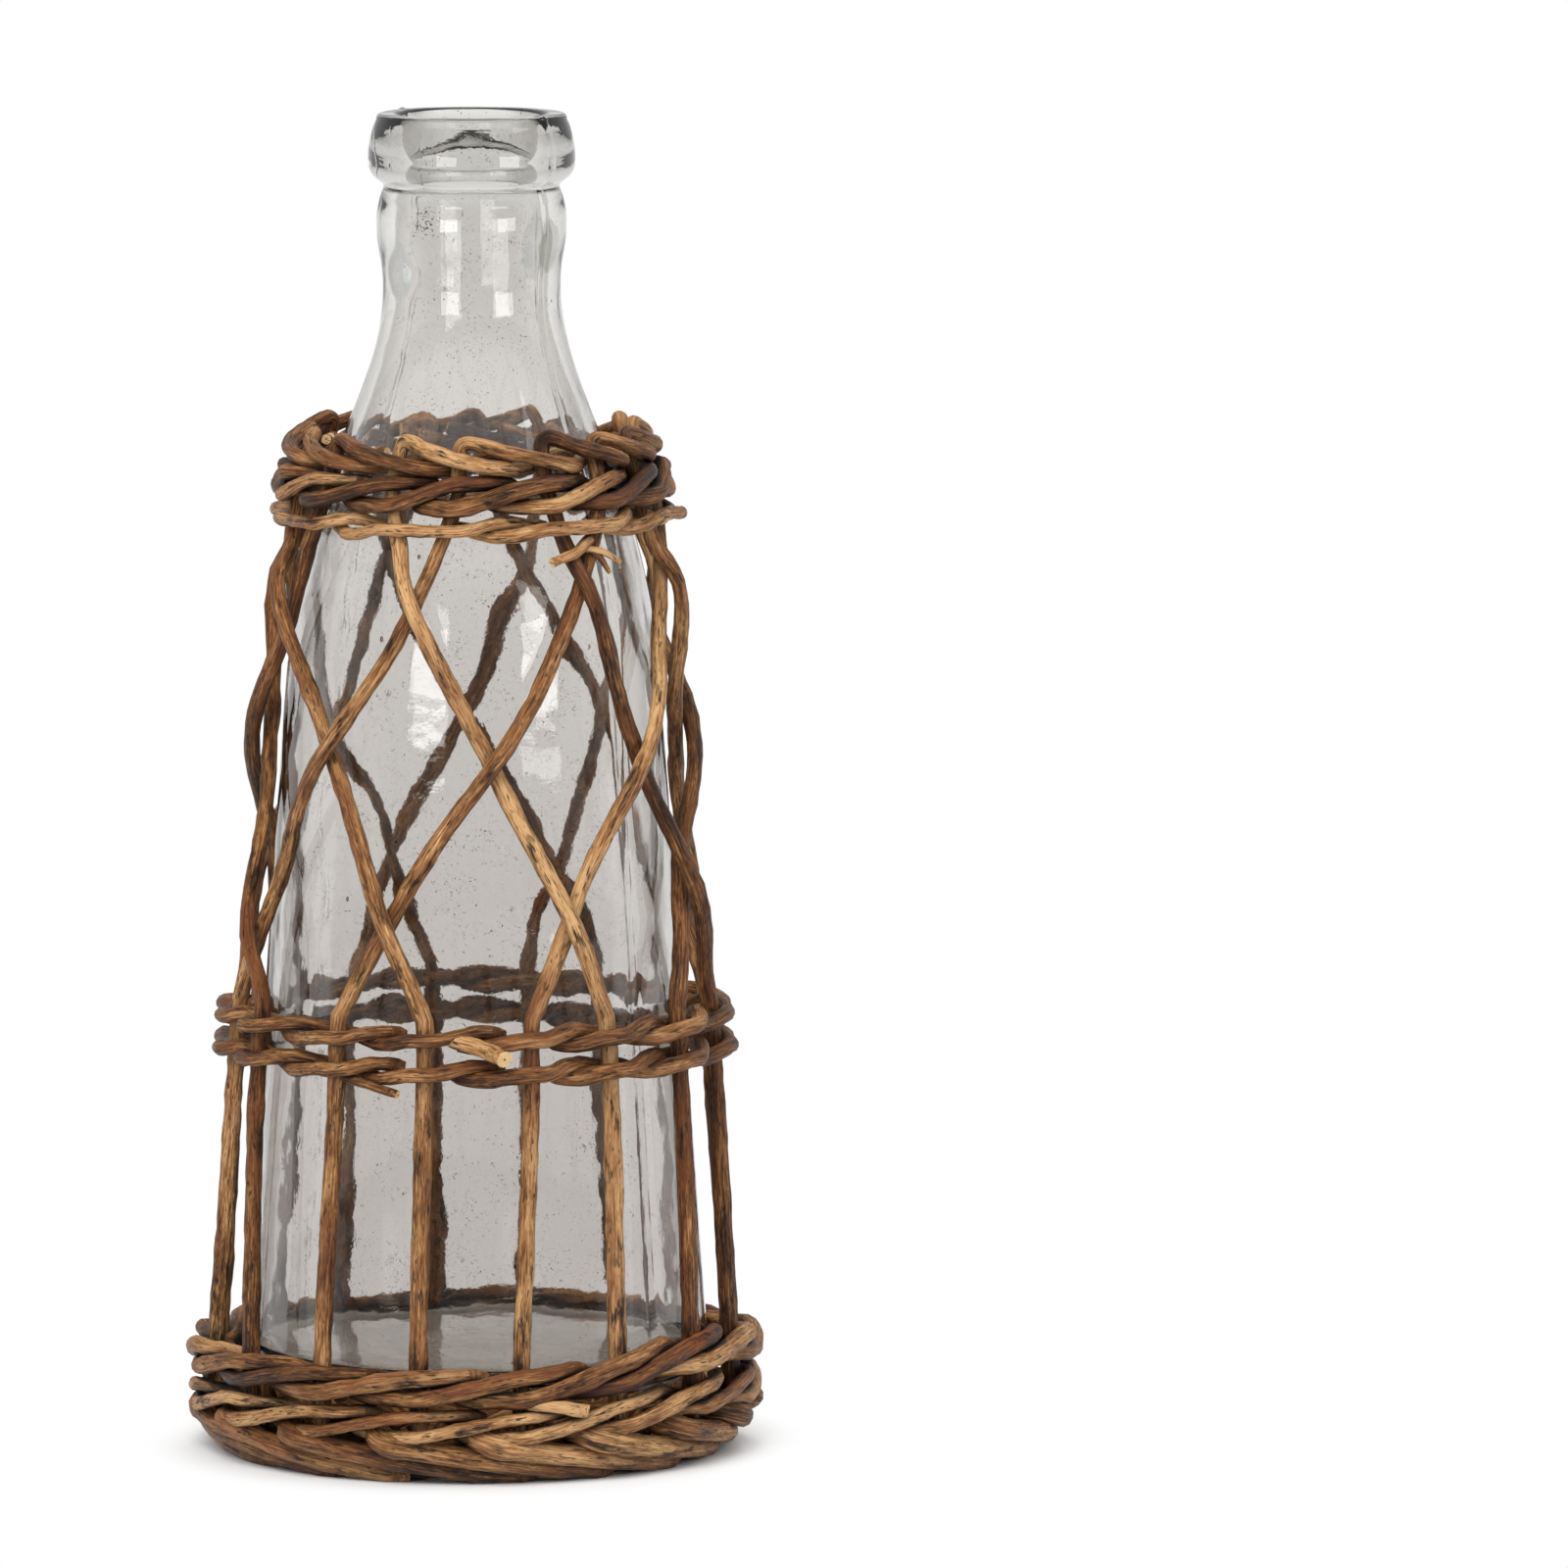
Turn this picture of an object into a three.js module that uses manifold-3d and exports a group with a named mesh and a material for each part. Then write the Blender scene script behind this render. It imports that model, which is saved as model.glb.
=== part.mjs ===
// A glass carafe standing in a loose cage of willow rods, woven round it.
// Millimetres, +Z up. The origin is on the ground under the bottle's axis, and the front faces -Y.
// Angles round the axis are in degrees, 0 at the front and growing towards +X.
import * as THREE from "three";
import { mergeVertices } from "three/addons/utils/BufferGeometryUtils.js";
import Module from "manifold-3d";

// Bottle: heights are above its own foot
const BOTTLE_HEIGHT = 340.7;
const BASE_RADIUS = 63.1;
const HEEL_ROUND = 8;
const STANDING_RING = 8;
const PUNT = 2.5;
const SHOULDER_RADIUS = 50.2;
const SHOULDER_HEIGHT = 188;
const SHOULDER_REACH = 58;
const NECK_RADIUS = 23.8;
const NECK_HEIGHT = 294;
const NECK_REACH = 28;
const RING_RADIUS = 25.5;
const RING_HEIGHT = 312;
const PINCH_RADIUS = 23.6;
const PINCH_HEIGHT = 321;
const LIP_RADIUS = 27.8;
const LIP_HEIGHT = 328;
const RIM_RADIUS = 25.6;
const RIM_ROUND = 1.6;
const MOUTH_RADIUS = 19.7;
const WALL = 3.4;
const FLOOR_THICKNESS = 5.3;
const INNER_HEEL_ROUND = 9;
const BOTTLE_FACETS = 28;

// Cage: heights are above the ground
const STAKE_COUNT = 16;
const STAKE_D = 4.4;
const FIRST_STAKE_DEG = -11.25;
const ROD_GAP = 0.35;
const MID_BAND_Z = 114;
const TOP_BAND_Z = 249;
const MID_BAND_D = 4.1;
const FITCH_D = 3.6;
const TOP_WALE_D = 4.1;
const FOOT_WALE_D = 4.4;
const FOOT_WALE_ROUNDS = 2;
const WALE_RODS = 3;
const FOOT_ROD_D = 6;
const FOOT_ROD_STANDOUT = 3.9;
const FOOT_ROD_SWEEP = 50;
const FOOT_ROD_LEAD = 6;
const FOOT_ROD_DROP = 6;
const FOOT_ROD_TUCK = 13;
const FOOT_FLAT = 1.1;
const BASE_STICK_D = 4.4;
const BASE_MAT_THICKNESS = 5;
const BASE_MAT_ROUND = 1.5;
const STAKE_FOOT_INSET = 1;
// How far a wale rod climbs either way, and how high the border arches, in diameters of the rod
const FOOT_WALE_CLIMB = 0.62;
const TOP_WALE_CLIMB = 0.74;
const BORDER_ARCH = 1.35;
// Room between a wale rod and a stake, in rod gaps
const WALE_ROOM = 1.7;
// Share of the way between two posts over which a paired rod runs level before it twists
const MID_LEVEL = 0.1;
const FITCH_LEVEL = 0.25;
// The base sticks run side by side past the crossed ones by this share of their spacing, then fan out
const STICK_OVERRUN = 0.4;
// Two places along a fanning stick, as shares of its reach and of its spread
const STICK_FAN = [[0.3, 0.26], [0.6, 0.57]];

// Air between the bottle and the stakes: at the foot, the middle band, the lattice and the top band
const FOOT_AIR = 5.2;
const MID_AIR = 5.4;
const HUG_AIR = 0.8;
const TOP_AIR = 6.2;
const HUG_FROM_Z = 168;
const HUG_TO_Z = 212;

// Lattice: each stake swings over this many pitches, so that it crosses as many others
const CROSSINGS = 3;
const TOP_TWIST_DEG = 8;
const UPRIGHT_ENDS = 0.035;
const CROSSING_REACH = 36;
// Hand-woven stakes wander from their even places, in degrees, at the middle band and at the top
const MID_DRIFT = [1, 4, 1, 3, 4, 2, -1, 2, -2, 0, 1, -2, 1, 1, -4, 1];
const TOP_DRIFT = [-5, 5, 0, 2, 6, 0, 5, -2, 2, -3, 0, -5, -2, 0, -3, 6];

// Facets round a rod and steps along it
const ROD_SIDES = 5;
const FOOT_ROD_SIDES = 6;
const PAIR_STEPS = 4;
const FITCH_STEPS = 6;
const WALE_STEPS = 3;
const FOOT_ROD_STEPS = 8;
const CURVE_DIVISIONS = 5;
// A stake has a point this far either side of a crossing, as a share of the crossing's reach
const CROSSING_STEP = 0.55;
// Steps left off each end of a woven rod, so that its ends lie apart
const END_TRIM = 1;
const BISECTIONS = 30;
const WELD = 1e-4;

const PITCH = 360 / STAKE_COUNT;
const wasm = await Module();
wasm.setup();

const GLASS = new THREE.MeshStandardMaterial({
  color: 0xd3d2cc, roughness: 0.04, metalness: 0, transparent: true, opacity: 0.35,
});
const STAKE_WILLOW = new THREE.MeshStandardMaterial({ color: 0x7a5433, roughness: 0.7, metalness: 0 });
const WEAVER_WILLOW = new THREE.MeshStandardMaterial({ color: 0x856141, roughness: 0.72, metalness: 0 });
const FOOT_WILLOW = new THREE.MeshStandardMaterial({ color: 0x6b4a2f, roughness: 0.75, metalness: 0 });
const BASE_WILLOW = new THREE.MeshStandardMaterial({ color: 0x735236, roughness: 0.78, metalness: 0 });

const mix = THREE.MathUtils.lerp;
const ease = (x) => THREE.MathUtils.smoothstep(x, 0, 1);
const wrap = (i, n) => ((i % n) + n) % n;

function around(degrees, radius, z) {
  const a = THREE.MathUtils.degToRad(degrees);
  return new THREE.Vector3(radius * Math.sin(a), -radius * Math.cos(a), z);
}

// Stack of the base, from the ground up
const footEndZ = FOOT_ROD_D / 2 - FOOT_FLAT;
const footStartZ = footEndZ + FOOT_ROD_DROP;
const footWaleRise = FOOT_WALE_CLIMB * FOOT_WALE_D;
const footWaleRoundHeight = 2 * footWaleRise + FOOT_WALE_D + ROD_GAP;
const footWaleBottom = footStartZ + FOOT_ROD_D / 2 + ROD_GAP;
const footWaleZ = (round) => footWaleBottom + footWaleRise + FOOT_WALE_D / 2 + round * footWaleRoundHeight;
const stickZ = footWaleZ(0) - FOOT_WALE_D / 2 - ROD_GAP - BASE_STICK_D / 2;
const crossedStickZ = stickZ - BASE_STICK_D - ROD_GAP;
const matBottomZ = stickZ + BASE_STICK_D / 2 + ROD_GAP;
const bottleZ = matBottomZ + BASE_MAT_THICKNESS + ROD_GAP;
const stakeFootZ = footWaleBottom + STAKE_FOOT_INSET;

// Stack of the top band: a paired row, a three-rod wale and the border that the stake tips make
const fitchRise = FITCH_D / 2 + ROD_GAP / 2;
const fitchZ = TOP_BAND_Z + fitchRise + FITCH_D / 2;
const topWaleRise = TOP_WALE_CLIMB * TOP_WALE_D;
const topWaleZ = fitchZ + fitchRise + FITCH_D / 2 + ROD_GAP + topWaleRise + TOP_WALE_D / 2;
const borderZ = topWaleZ + topWaleRise + TOP_WALE_D / 2 + ROD_GAP + STAKE_D / 2;
const borderApexZ = borderZ + BORDER_ARCH * STAKE_D;

// Two paired rows make the middle band
const midRise = MID_BAND_D / 2 + ROD_GAP / 2;
const midRowHeight = 2 * midRise + MID_BAND_D + ROD_GAP;
const latticeFromZ = MID_BAND_Z + midRowHeight;
const latticeToZ = topWaleZ;

// The bottle's outer wall, from the axis under the foot to the rim
function bottleOuter() {
  const cone = new THREE.Vector2(SHOULDER_RADIUS - BASE_RADIUS, SHOULDER_HEIGHT - HEEL_ROUND).normalize();
  const path = new THREE.Path();
  path.moveTo(0, PUNT);
  path.lineTo(BASE_RADIUS - HEEL_ROUND - STANDING_RING, 0);
  path.lineTo(BASE_RADIUS - HEEL_ROUND, 0);
  path.quadraticCurveTo(BASE_RADIUS, 0, BASE_RADIUS, HEEL_ROUND);
  path.lineTo(SHOULDER_RADIUS, SHOULDER_HEIGHT);
  path.bezierCurveTo(
    SHOULDER_RADIUS + cone.x * SHOULDER_REACH, SHOULDER_HEIGHT + cone.y * SHOULDER_REACH,
    NECK_RADIUS, NECK_HEIGHT - NECK_REACH, NECK_RADIUS, NECK_HEIGHT,
  );
  const half = (RING_HEIGHT - NECK_HEIGHT) / 2;
  path.bezierCurveTo(
    NECK_RADIUS, NECK_HEIGHT + half, RING_RADIUS, RING_HEIGHT - half, RING_RADIUS, RING_HEIGHT,
  );
  path.quadraticCurveTo(RING_RADIUS, (RING_HEIGHT + PINCH_HEIGHT) / 2, PINCH_RADIUS, PINCH_HEIGHT);
  path.quadraticCurveTo(LIP_RADIUS, PINCH_HEIGHT, LIP_RADIUS, LIP_HEIGHT);
  path.quadraticCurveTo(
    LIP_RADIUS, (LIP_HEIGHT + BOTTLE_HEIGHT) / 2, RIM_RADIUS, BOTTLE_HEIGHT - RIM_ROUND,
  );
  path.lineTo(RIM_RADIUS - RIM_ROUND, BOTTLE_HEIGHT);
  return path;
}

// The bottle's inner wall, from the rim down to the axis on the floor
function bottleInner() {
  const shoulder = SHOULDER_RADIUS - WALL;
  const neck = NECK_RADIUS - WALL;
  const base = BASE_RADIUS - WALL;
  const heel = FLOOR_THICKNESS + INNER_HEEL_ROUND;
  const cone = new THREE.Vector2(SHOULDER_RADIUS - BASE_RADIUS, SHOULDER_HEIGHT - HEEL_ROUND).normalize();
  const path = new THREE.Path();
  path.moveTo(MOUTH_RADIUS + RIM_ROUND, BOTTLE_HEIGHT);
  path.lineTo(MOUTH_RADIUS, BOTTLE_HEIGHT - RIM_ROUND);
  path.lineTo(MOUTH_RADIUS, LIP_HEIGHT);
  path.lineTo(neck, NECK_HEIGHT);
  path.bezierCurveTo(
    neck, NECK_HEIGHT - NECK_REACH,
    shoulder + cone.x * SHOULDER_REACH, SHOULDER_HEIGHT + cone.y * SHOULDER_REACH,
    shoulder, SHOULDER_HEIGHT,
  );
  path.lineTo(base, heel);
  path.quadraticCurveTo(base, FLOOR_THICKNESS, base - INNER_HEEL_ROUND, FLOOR_THICKNESS);
  path.lineTo(0, FLOOR_THICKNESS + PUNT);
  return path;
}

const outerWall = bottleOuter().getPoints(CURVE_DIVISIONS);
const innerWall = bottleInner().getPoints(CURVE_DIVISIONS);

// Outside radius of the bottle at a height above the ground
function bottleRadius(z) {
  const h = z - bottleZ;
  const wall = outerWall.slice(2);
  const i = wall.findIndex((p) => p.y >= h);
  if (i <= 0) return wall[i < 0 ? wall.length - 1 : 1].x;
  const [a, b] = [wall[i - 1], wall[i]];
  return mix(a.x, b.x, (h - a.y) / (b.y - a.y));
}

// Radius of the stakes' centre lines at a height: the bottle, the air round it and half a stake
function cageRadius(z) {
  const stations = [
    [bottleZ, FOOT_AIR],
    [MID_BAND_Z, MID_AIR],
    [HUG_FROM_Z, HUG_AIR],
    [HUG_TO_Z, HUG_AIR],
    [borderApexZ, TOP_AIR],
  ];
  const i = stations.findIndex(([height]) => height > z);
  let air = FOOT_AIR;
  if (i < 0) air = TOP_AIR;
  if (i > 0) {
    const [[z0, a0], [z1, a1]] = [stations[i - 1], stations[i]];
    air = mix(a0, a1, ease((z - z0) / (z1 - z0)));
  }
  return bottleRadius(Math.max(z, bottleZ + HEEL_ROUND)) + air + STAKE_D / 2;
}

// Even stakes swing to the left over the lattice and odd ones to the right
const leansRight = (i) => wrap(i, 2) === 1;

// Angle of stake i at a height. i may run past the count, and the angle then runs past a turn.
function stakeAngle(i, z) {
  const even = FIRST_STAKE_DEG + i * PITCH;
  const swing = (leansRight(i) ? 1 : -1) * CROSSINGS * PITCH + TOP_TWIST_DEG;
  const u = THREE.MathUtils.clamp((z - latticeFromZ) / (latticeToZ - latticeFromZ), 0, 1);
  const share = u - UPRIGHT_ENDS * Math.sin(2 * Math.PI * u);
  const rise = ease((z - bottleZ) / (latticeFromZ - bottleZ));
  const midDrift = MID_DRIFT[wrap(i, MID_DRIFT.length)];
  const topDrift = TOP_DRIFT[wrap(i, TOP_DRIFT.length)];
  return even + swing * share + mix(rise * midDrift, topDrift, share);
}

// Height at which stake i, in its n-th crossing, meets the stake that leans the other way
function crossingZ(i, n) {
  const other = i + (leansRight(i) ? 1 : -1) * (2 * n + 1);
  const apart = (z) => (stakeAngle(other, z) - stakeAngle(i, z)) * (leansRight(i) ? 1 : -1);
  let [low, high] = [latticeFromZ, latticeToZ];
  for (let step = 0; step < BISECTIONS; step++) {
    const middle = (low + high) / 2;
    if (apart(middle) > 0) low = middle;
    else high = middle;
  }
  return low;
}

// A stake rides over the one it crosses at every other crossing, and hugs the bottle elsewhere.
// It comes back to the ring of stakes before it enters a band.
function crossingLift(i, z) {
  let lift = 0;
  for (let n = 0; n < CROSSINGS; n++) {
    const over = leansRight(i) === (wrap(n, 2) === 1);
    const crossing = crossingZ(i, n);
    const room = z < crossing ? crossing - latticeFromZ : TOP_BAND_Z - crossing;
    const away = Math.abs(z - crossing) / Math.min(CROSSING_REACH, room);
    if (over && away < 1) lift += (STAKE_D + 2 * ROD_GAP) * Math.cos((away * Math.PI) / 2) ** 2;
  }
  return lift;
}

// A curve whose steps fall on its own points
class RodCurve extends THREE.CatmullRomCurve3 {
  getUtoTmapping(u) {
    return u;
  }
}

function rodGeometry(points, diameter, sides = ROD_SIDES) {
  const section = new THREE.Shape();
  for (let k = 0; k < sides; k++) {
    const a = (2 * Math.PI * k) / sides;
    const [x, y] = [(diameter / 2) * Math.cos(a), (diameter / 2) * Math.sin(a)];
    if (k === 0) section.moveTo(x, y);
    else section.lineTo(x, y);
  }
  return new THREE.ExtrudeGeometry(section, {
    steps: points.length - 1, extrudePath: new RodCurve(points), bevelEnabled: false,
  });
}

// Places in the ring of stakes at the top: even stakes have come from the right and odd ones from the left
const topStake = (place) => (wrap(place, 2) === 0 ? place + CROSSINGS - 1 : place - CROSSINGS - 1);
const topPlace = (stake) => (leansRight(stake) ? stake + CROSSINGS + 1 : stake - CROSSINGS + 1);

// Angle at a fractional place among posts whose angles are given by post(n)
function betweenPosts(post, x) {
  const n = Math.floor(x);
  return mix(post(n), post(n + 1), x - n);
}

// The tip of a stake bends to the right, passes outside the next stake and ends inside the one after.
// A stop is a place among the stakes, a step outwards in rods and a height.
function borderTail(place) {
  const post = (n) => stakeAngle(topStake(n), latticeToZ);
  const over = STAKE_D + ROD_GAP;
  const stops = [
    [0, 0, borderZ - STAKE_D],
    [0.02, 0, borderZ],
    [0.1, 0.1, mix(borderZ, borderApexZ, 0.75)],
    [0.3, 0.4, borderApexZ],
    [0.6, 0.85, mix(borderZ, borderApexZ, 0.8)],
    [1, 1.15, mix(borderZ, borderApexZ, 0.25)],
    [1.4, 0.6, borderZ],
    [1.7, -0.5, borderZ],
    [2, -1.05, borderZ],
    [2.2, -1.05, borderZ],
  ];
  return stops.map(([x, out, z]) => {
    const angle = betweenPosts(post, place + x);
    return around(angle, cageRadius(z) + out * over, z);
  });
}

// Heights at which a stake is drawn: its upright part, then round each crossing and between them
function stakeHeights(i) {
  const uprightZ = (bottleZ + MID_BAND_Z) / 2;
  const heights = [stakeFootZ, bottleZ + HEEL_ROUND, uprightZ, MID_BAND_Z, latticeFromZ];
  const step = CROSSING_STEP * CROSSING_REACH;
  for (let n = 0; n < CROSSINGS; n++) {
    const z = crossingZ(i, n);
    const below = Math.max(z - step, (latticeFromZ + z) / 2);
    const above = Math.min(z + step, (z + TOP_BAND_Z) / 2);
    if (n > 0) heights.push((heights.at(-1) + below) / 2);
    heights.push(below, z, above);
  }
  return [...heights, TOP_BAND_Z, topWaleZ - topWaleRise];
}

function stake(i) {
  const points = stakeHeights(i).map((z) => {
    const radius = cageRadius(z) + crossingLift(i, z);
    return around(stakeAngle(i, z), radius, z);
  });
  points.push(...borderTail(topPlace(i)));
  return rodGeometry(points, STAKE_D);
}

// One rod of a paired row: outside one post and inside the next, twisted with its partner between them
function pairedRod(strand, { posts, post, z, diameter, rise, steps, level }) {
  const reach = (STAKE_D + diameter) / 2 + ROD_GAP;
  const first = strand === 0 ? 1 : 0;
  const points = [];
  for (let k = END_TRIM; k <= posts * steps - END_TRIM; k++) {
    const x = first + k / steps;
    const n = Math.floor(x);
    const turn = ease((x - n - level) / (1 - 2 * level));
    const side = wrap(n + strand, 2) === 0 ? 1 : -1;
    const out = side * reach * Math.cos(Math.PI * turn);
    const up = side * rise * Math.sin(Math.PI * turn);
    const angle = betweenPosts((m) => post(m, z + up), x);
    points.push(around(angle, cageRadius(z + up) + out, z + up));
  }
  return rodGeometry(points, diameter);
}

// One rod of a three-rod wale: inside one post, then outside two as it climbs
function walingRod(strand, { post, z, diameter, rise }) {
  const reach = (STAKE_D + diameter) / 2 + WALE_ROOM * ROD_GAP;
  const last = STAKE_COUNT + wrap(strand - STAKE_COUNT, WALE_RODS);
  const points = [];
  for (let k = END_TRIM; k <= (last - strand) * WALE_STEPS - END_TRIM; k++) {
    const x = strand + k / WALE_STEPS;
    const n = Math.floor(x);
    const v = x - n;
    const state = wrap(n - strand, WALE_RODS);
    const across = Math.cos(Math.PI * ease(v));
    const [out, up] = [
      [-across, -ease(2 * v)],
      [1, 2 * ease(v) - 1],
      [across, 1 - ease(2 * v - 1)],
    ][state];
    const height = z + up * rise;
    const angle = betweenPosts((m) => post(m, height), x);
    points.push(around(angle, cageRadius(height) + out * reach, height));
  }
  return rodGeometry(points, diameter);
}

// A closed geometry as a solid that can be cut
function solidOf(geometry) {
  const bare = geometry.clone();
  bare.deleteAttribute("normal");
  bare.deleteAttribute("uv");
  const merged = mergeVertices(bare, WELD);
  return new wasm.Manifold(new wasm.Mesh({
    numProp: 3,
    vertProperties: new Float32Array(merged.attributes.position.array),
    triVerts: new Uint32Array(merged.index.array),
  }));
}

function geometryOf(solid) {
  const mesh = solid.getMesh();
  const geometry = new THREE.BufferGeometry();
  geometry.setAttribute("position", new THREE.BufferAttribute(mesh.vertProperties, 3));
  geometry.setIndex(new THREE.BufferAttribute(mesh.triVerts, 1));
  geometry.computeVertexNormals();
  return geometry;
}

// A rod of the foot runs down and inwards under the wale, and is worn flat where it stands
function footRod(i) {
  const outerEnd = cageRadius(bottleZ) + FOOT_ROD_STANDOUT;
  const points = [];
  for (let k = 0; k <= FOOT_ROD_STEPS; k++) {
    const share = k / FOOT_ROD_STEPS;
    const angle = FIRST_STAKE_DEG + i * PITCH - FOOT_ROD_LEAD + share * FOOT_ROD_SWEEP;
    const z = footStartZ - share * FOOT_ROD_DROP;
    points.push(around(angle, outerEnd - share * FOOT_ROD_TUCK, z));
  }
  const size = 4 * outerEnd;
  const ground = new THREE.BoxGeometry(size, size, FOOT_ROD_D).translate(0, 0, -FOOT_ROD_D / 2);
  return geometryOf(solidOf(rodGeometry(points, FOOT_ROD_D, FOOT_ROD_SIDES)).subtract(solidOf(ground)));
}

// Half of the base sticks pass under the other half, and both fan out to the stakes under the wale
function baseStick(group, k) {
  const perGroup = STAKE_COUNT / 4;
  const lane = k - (perGroup - 1) / 2;
  const end = cageRadius(bottleZ) - STAKE_D / 2 - 2 * ROD_GAP;
  const spacing = BASE_STICK_D + ROD_GAP;
  const straight = (perGroup / 2 + STICK_OVERRUN) * spacing;
  const fan = THREE.MathUtils.degToRad(lane * PITCH);
  const [endX, endY] = [end * Math.cos(fan), end * Math.sin(fan)];
  const centreZ = group === 0 ? stickZ : crossedStickZ;
  const fanning = STICK_FAN.map(([reach, spread]) => (
    new THREE.Vector3(mix(straight, endX, reach), mix(lane * spacing, endY, spread), stickZ)
  ));
  const half = [
    new THREE.Vector3(straight, lane * spacing, centreZ),
    ...fanning,
    new THREE.Vector3(endX, endY, stickZ),
  ];
  const mirrored = half.map((p) => new THREE.Vector3(-p.x, p.y, p.z)).reverse();
  const points = [...mirrored, new THREE.Vector3(0, lane * spacing, centreZ), ...half];
  return rodGeometry(points, BASE_STICK_D).rotateZ((group * Math.PI) / 2);
}

// The woven floor that the bottle stands on
function baseMat() {
  const radius = cageRadius(bottleZ) - (STAKE_D / 2 + FOOT_WALE_D + 3 * ROD_GAP);
  const profile = [
    [0, 0],
    [radius - BASE_MAT_ROUND, 0],
    [radius, BASE_MAT_ROUND],
    [radius, BASE_MAT_THICKNESS - BASE_MAT_ROUND],
    [radius - BASE_MAT_ROUND, BASE_MAT_THICKNESS],
    [0, BASE_MAT_THICKNESS],
  ];
  return lathe(profile.map(([r, z]) => new THREE.Vector2(r, z)));
}

// Turned about +Z from a profile of radius and height
function lathe(profile) {
  return new THREE.LatheGeometry(profile, BOTTLE_FACETS).rotateX(Math.PI / 2);
}

const carafe = new THREE.Group();

function add(name, geometry, material, z = 0) {
  const mesh = new THREE.Mesh(geometry, material);
  mesh.name = name;
  mesh.position.z = z;
  carafe.add(mesh);
}

add("glass_bottle", lathe([...outerWall, ...innerWall]), GLASS, bottleZ);
add("base_mat", baseMat(), BASE_WILLOW, matBottomZ);
for (let k = 0; k < STAKE_COUNT / 2; k++) {
  const perGroup = STAKE_COUNT / 4;
  add(`base_stick_${k + 1}`, baseStick(Math.floor(k / perGroup), k % perGroup), BASE_WILLOW);
}
for (let i = 0; i < STAKE_COUNT; i++) {
  add(`foot_rod_${i + 1}`, footRod(i), FOOT_WILLOW);
  add(`stake_${i + 1}`, stake(i), STAKE_WILLOW);
}
for (let round = 0; round < FOOT_WALE_ROUNDS; round++) {
  const z = footWaleZ(round);
  for (let strand = 0; strand < WALE_RODS; strand++) {
    const row = { post: stakeAngle, z, diameter: FOOT_WALE_D, rise: footWaleRise };
    add(`foot_wale_${round + 1}_rod_${strand + 1}`, walingRod(strand, row), WEAVER_WILLOW);
  }
}
for (let row = 0; row < 2; row++) {
  const z = MID_BAND_Z + (row - 0.5) * midRowHeight;
  const level = row === 0 ? "lower" : "upper";
  for (let strand = 0; strand < 2; strand++) {
    const weave = {
      posts: STAKE_COUNT,
      post: stakeAngle,
      z,
      diameter: MID_BAND_D,
      rise: midRise,
      steps: PAIR_STEPS,
      level: MID_LEVEL,
    };
    add(`mid_band_${level}_rod_${strand + 1}`, pairedRod(strand, weave), WEAVER_WILLOW);
  }
}
for (let strand = 0; strand < 2; strand++) {
  const pair = (n, z) => (stakeAngle(topStake(2 * n), z) + stakeAngle(topStake(2 * n + 1), z)) / 2;
  const weave = {
    posts: STAKE_COUNT / 2,
    post: pair,
    z: fitchZ,
    diameter: FITCH_D,
    rise: fitchRise,
    steps: FITCH_STEPS,
    level: FITCH_LEVEL,
  };
  add(`top_fitch_rod_${strand + 1}`, pairedRod(strand, weave), WEAVER_WILLOW);
}
for (let strand = 0; strand < WALE_RODS; strand++) {
  const post = (n, z) => stakeAngle(topStake(n), z);
  const row = { post, z: topWaleZ, diameter: TOP_WALE_D, rise: topWaleRise };
  add(`top_wale_rod_${strand + 1}`, walingRod(strand, row), WEAVER_WILLOW);
}

export default carafe;
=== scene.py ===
"""Dresses the wicker-covered carafe: a clear moulded glass bottle in a hand-woven cage of willow rods.

Lengths are in millimetres until a mesh is made. Angles round the axis are in degrees, 0 at the front (-Y)
and growing towards +X.
"""

import logging
import math
import random
from dataclasses import dataclass, field
from enum import Enum
from typing import Any, Callable, Sequence

import bpy
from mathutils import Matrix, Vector, geometry


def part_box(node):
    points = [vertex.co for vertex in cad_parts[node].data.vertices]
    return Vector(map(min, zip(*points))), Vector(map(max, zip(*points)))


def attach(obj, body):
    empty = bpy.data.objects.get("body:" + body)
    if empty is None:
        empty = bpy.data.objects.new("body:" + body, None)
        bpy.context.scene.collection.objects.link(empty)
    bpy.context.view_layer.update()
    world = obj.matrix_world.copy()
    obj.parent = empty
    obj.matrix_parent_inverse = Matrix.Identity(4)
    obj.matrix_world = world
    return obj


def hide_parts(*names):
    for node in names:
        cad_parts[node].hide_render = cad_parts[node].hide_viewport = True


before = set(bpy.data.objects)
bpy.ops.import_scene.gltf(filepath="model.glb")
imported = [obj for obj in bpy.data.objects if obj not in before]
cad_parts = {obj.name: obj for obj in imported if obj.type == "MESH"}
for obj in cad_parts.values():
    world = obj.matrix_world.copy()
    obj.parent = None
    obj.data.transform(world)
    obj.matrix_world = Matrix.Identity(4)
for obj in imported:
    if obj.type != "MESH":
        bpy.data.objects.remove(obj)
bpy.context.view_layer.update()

LOG = logging.getLogger("carafe")
MM = 0.001
MERGE_M = 1e-6
SEED = 41
UNEVEN = (0.6, 1.4)
WHITE = "#FFFFFF"
MULTIPLY_ADD = {"operation": "MULTIPLY_ADD"}
RGBA = {"data_type": "RGBA"}

Socket = bpy.types.NodeSocket
# Share of a mark on a rod, at a point of it.
Mark = Callable[[Vector], float]
# Angle of a post at a height, by the post's number.
PostAngle = Callable[[int, float], float]
# Two ends of a value.
Ends = tuple[float, float]
# Two ends of a value, and the share that is reached between them.
Band = tuple[float, float, float]


class Body(Enum):
    """The two bodies of the carafe."""

    CAGE = "wicker_cage"
    BOTTLE = "bottle"


class Slot(Enum):
    """The record's material slots."""

    GLASS = "bottle_glass"
    STAKES = "willow_stakes"
    WEAVERS = "willow_weavers"
    FOOT = "willow_foot"
    BASE = "willow_base"


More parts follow.
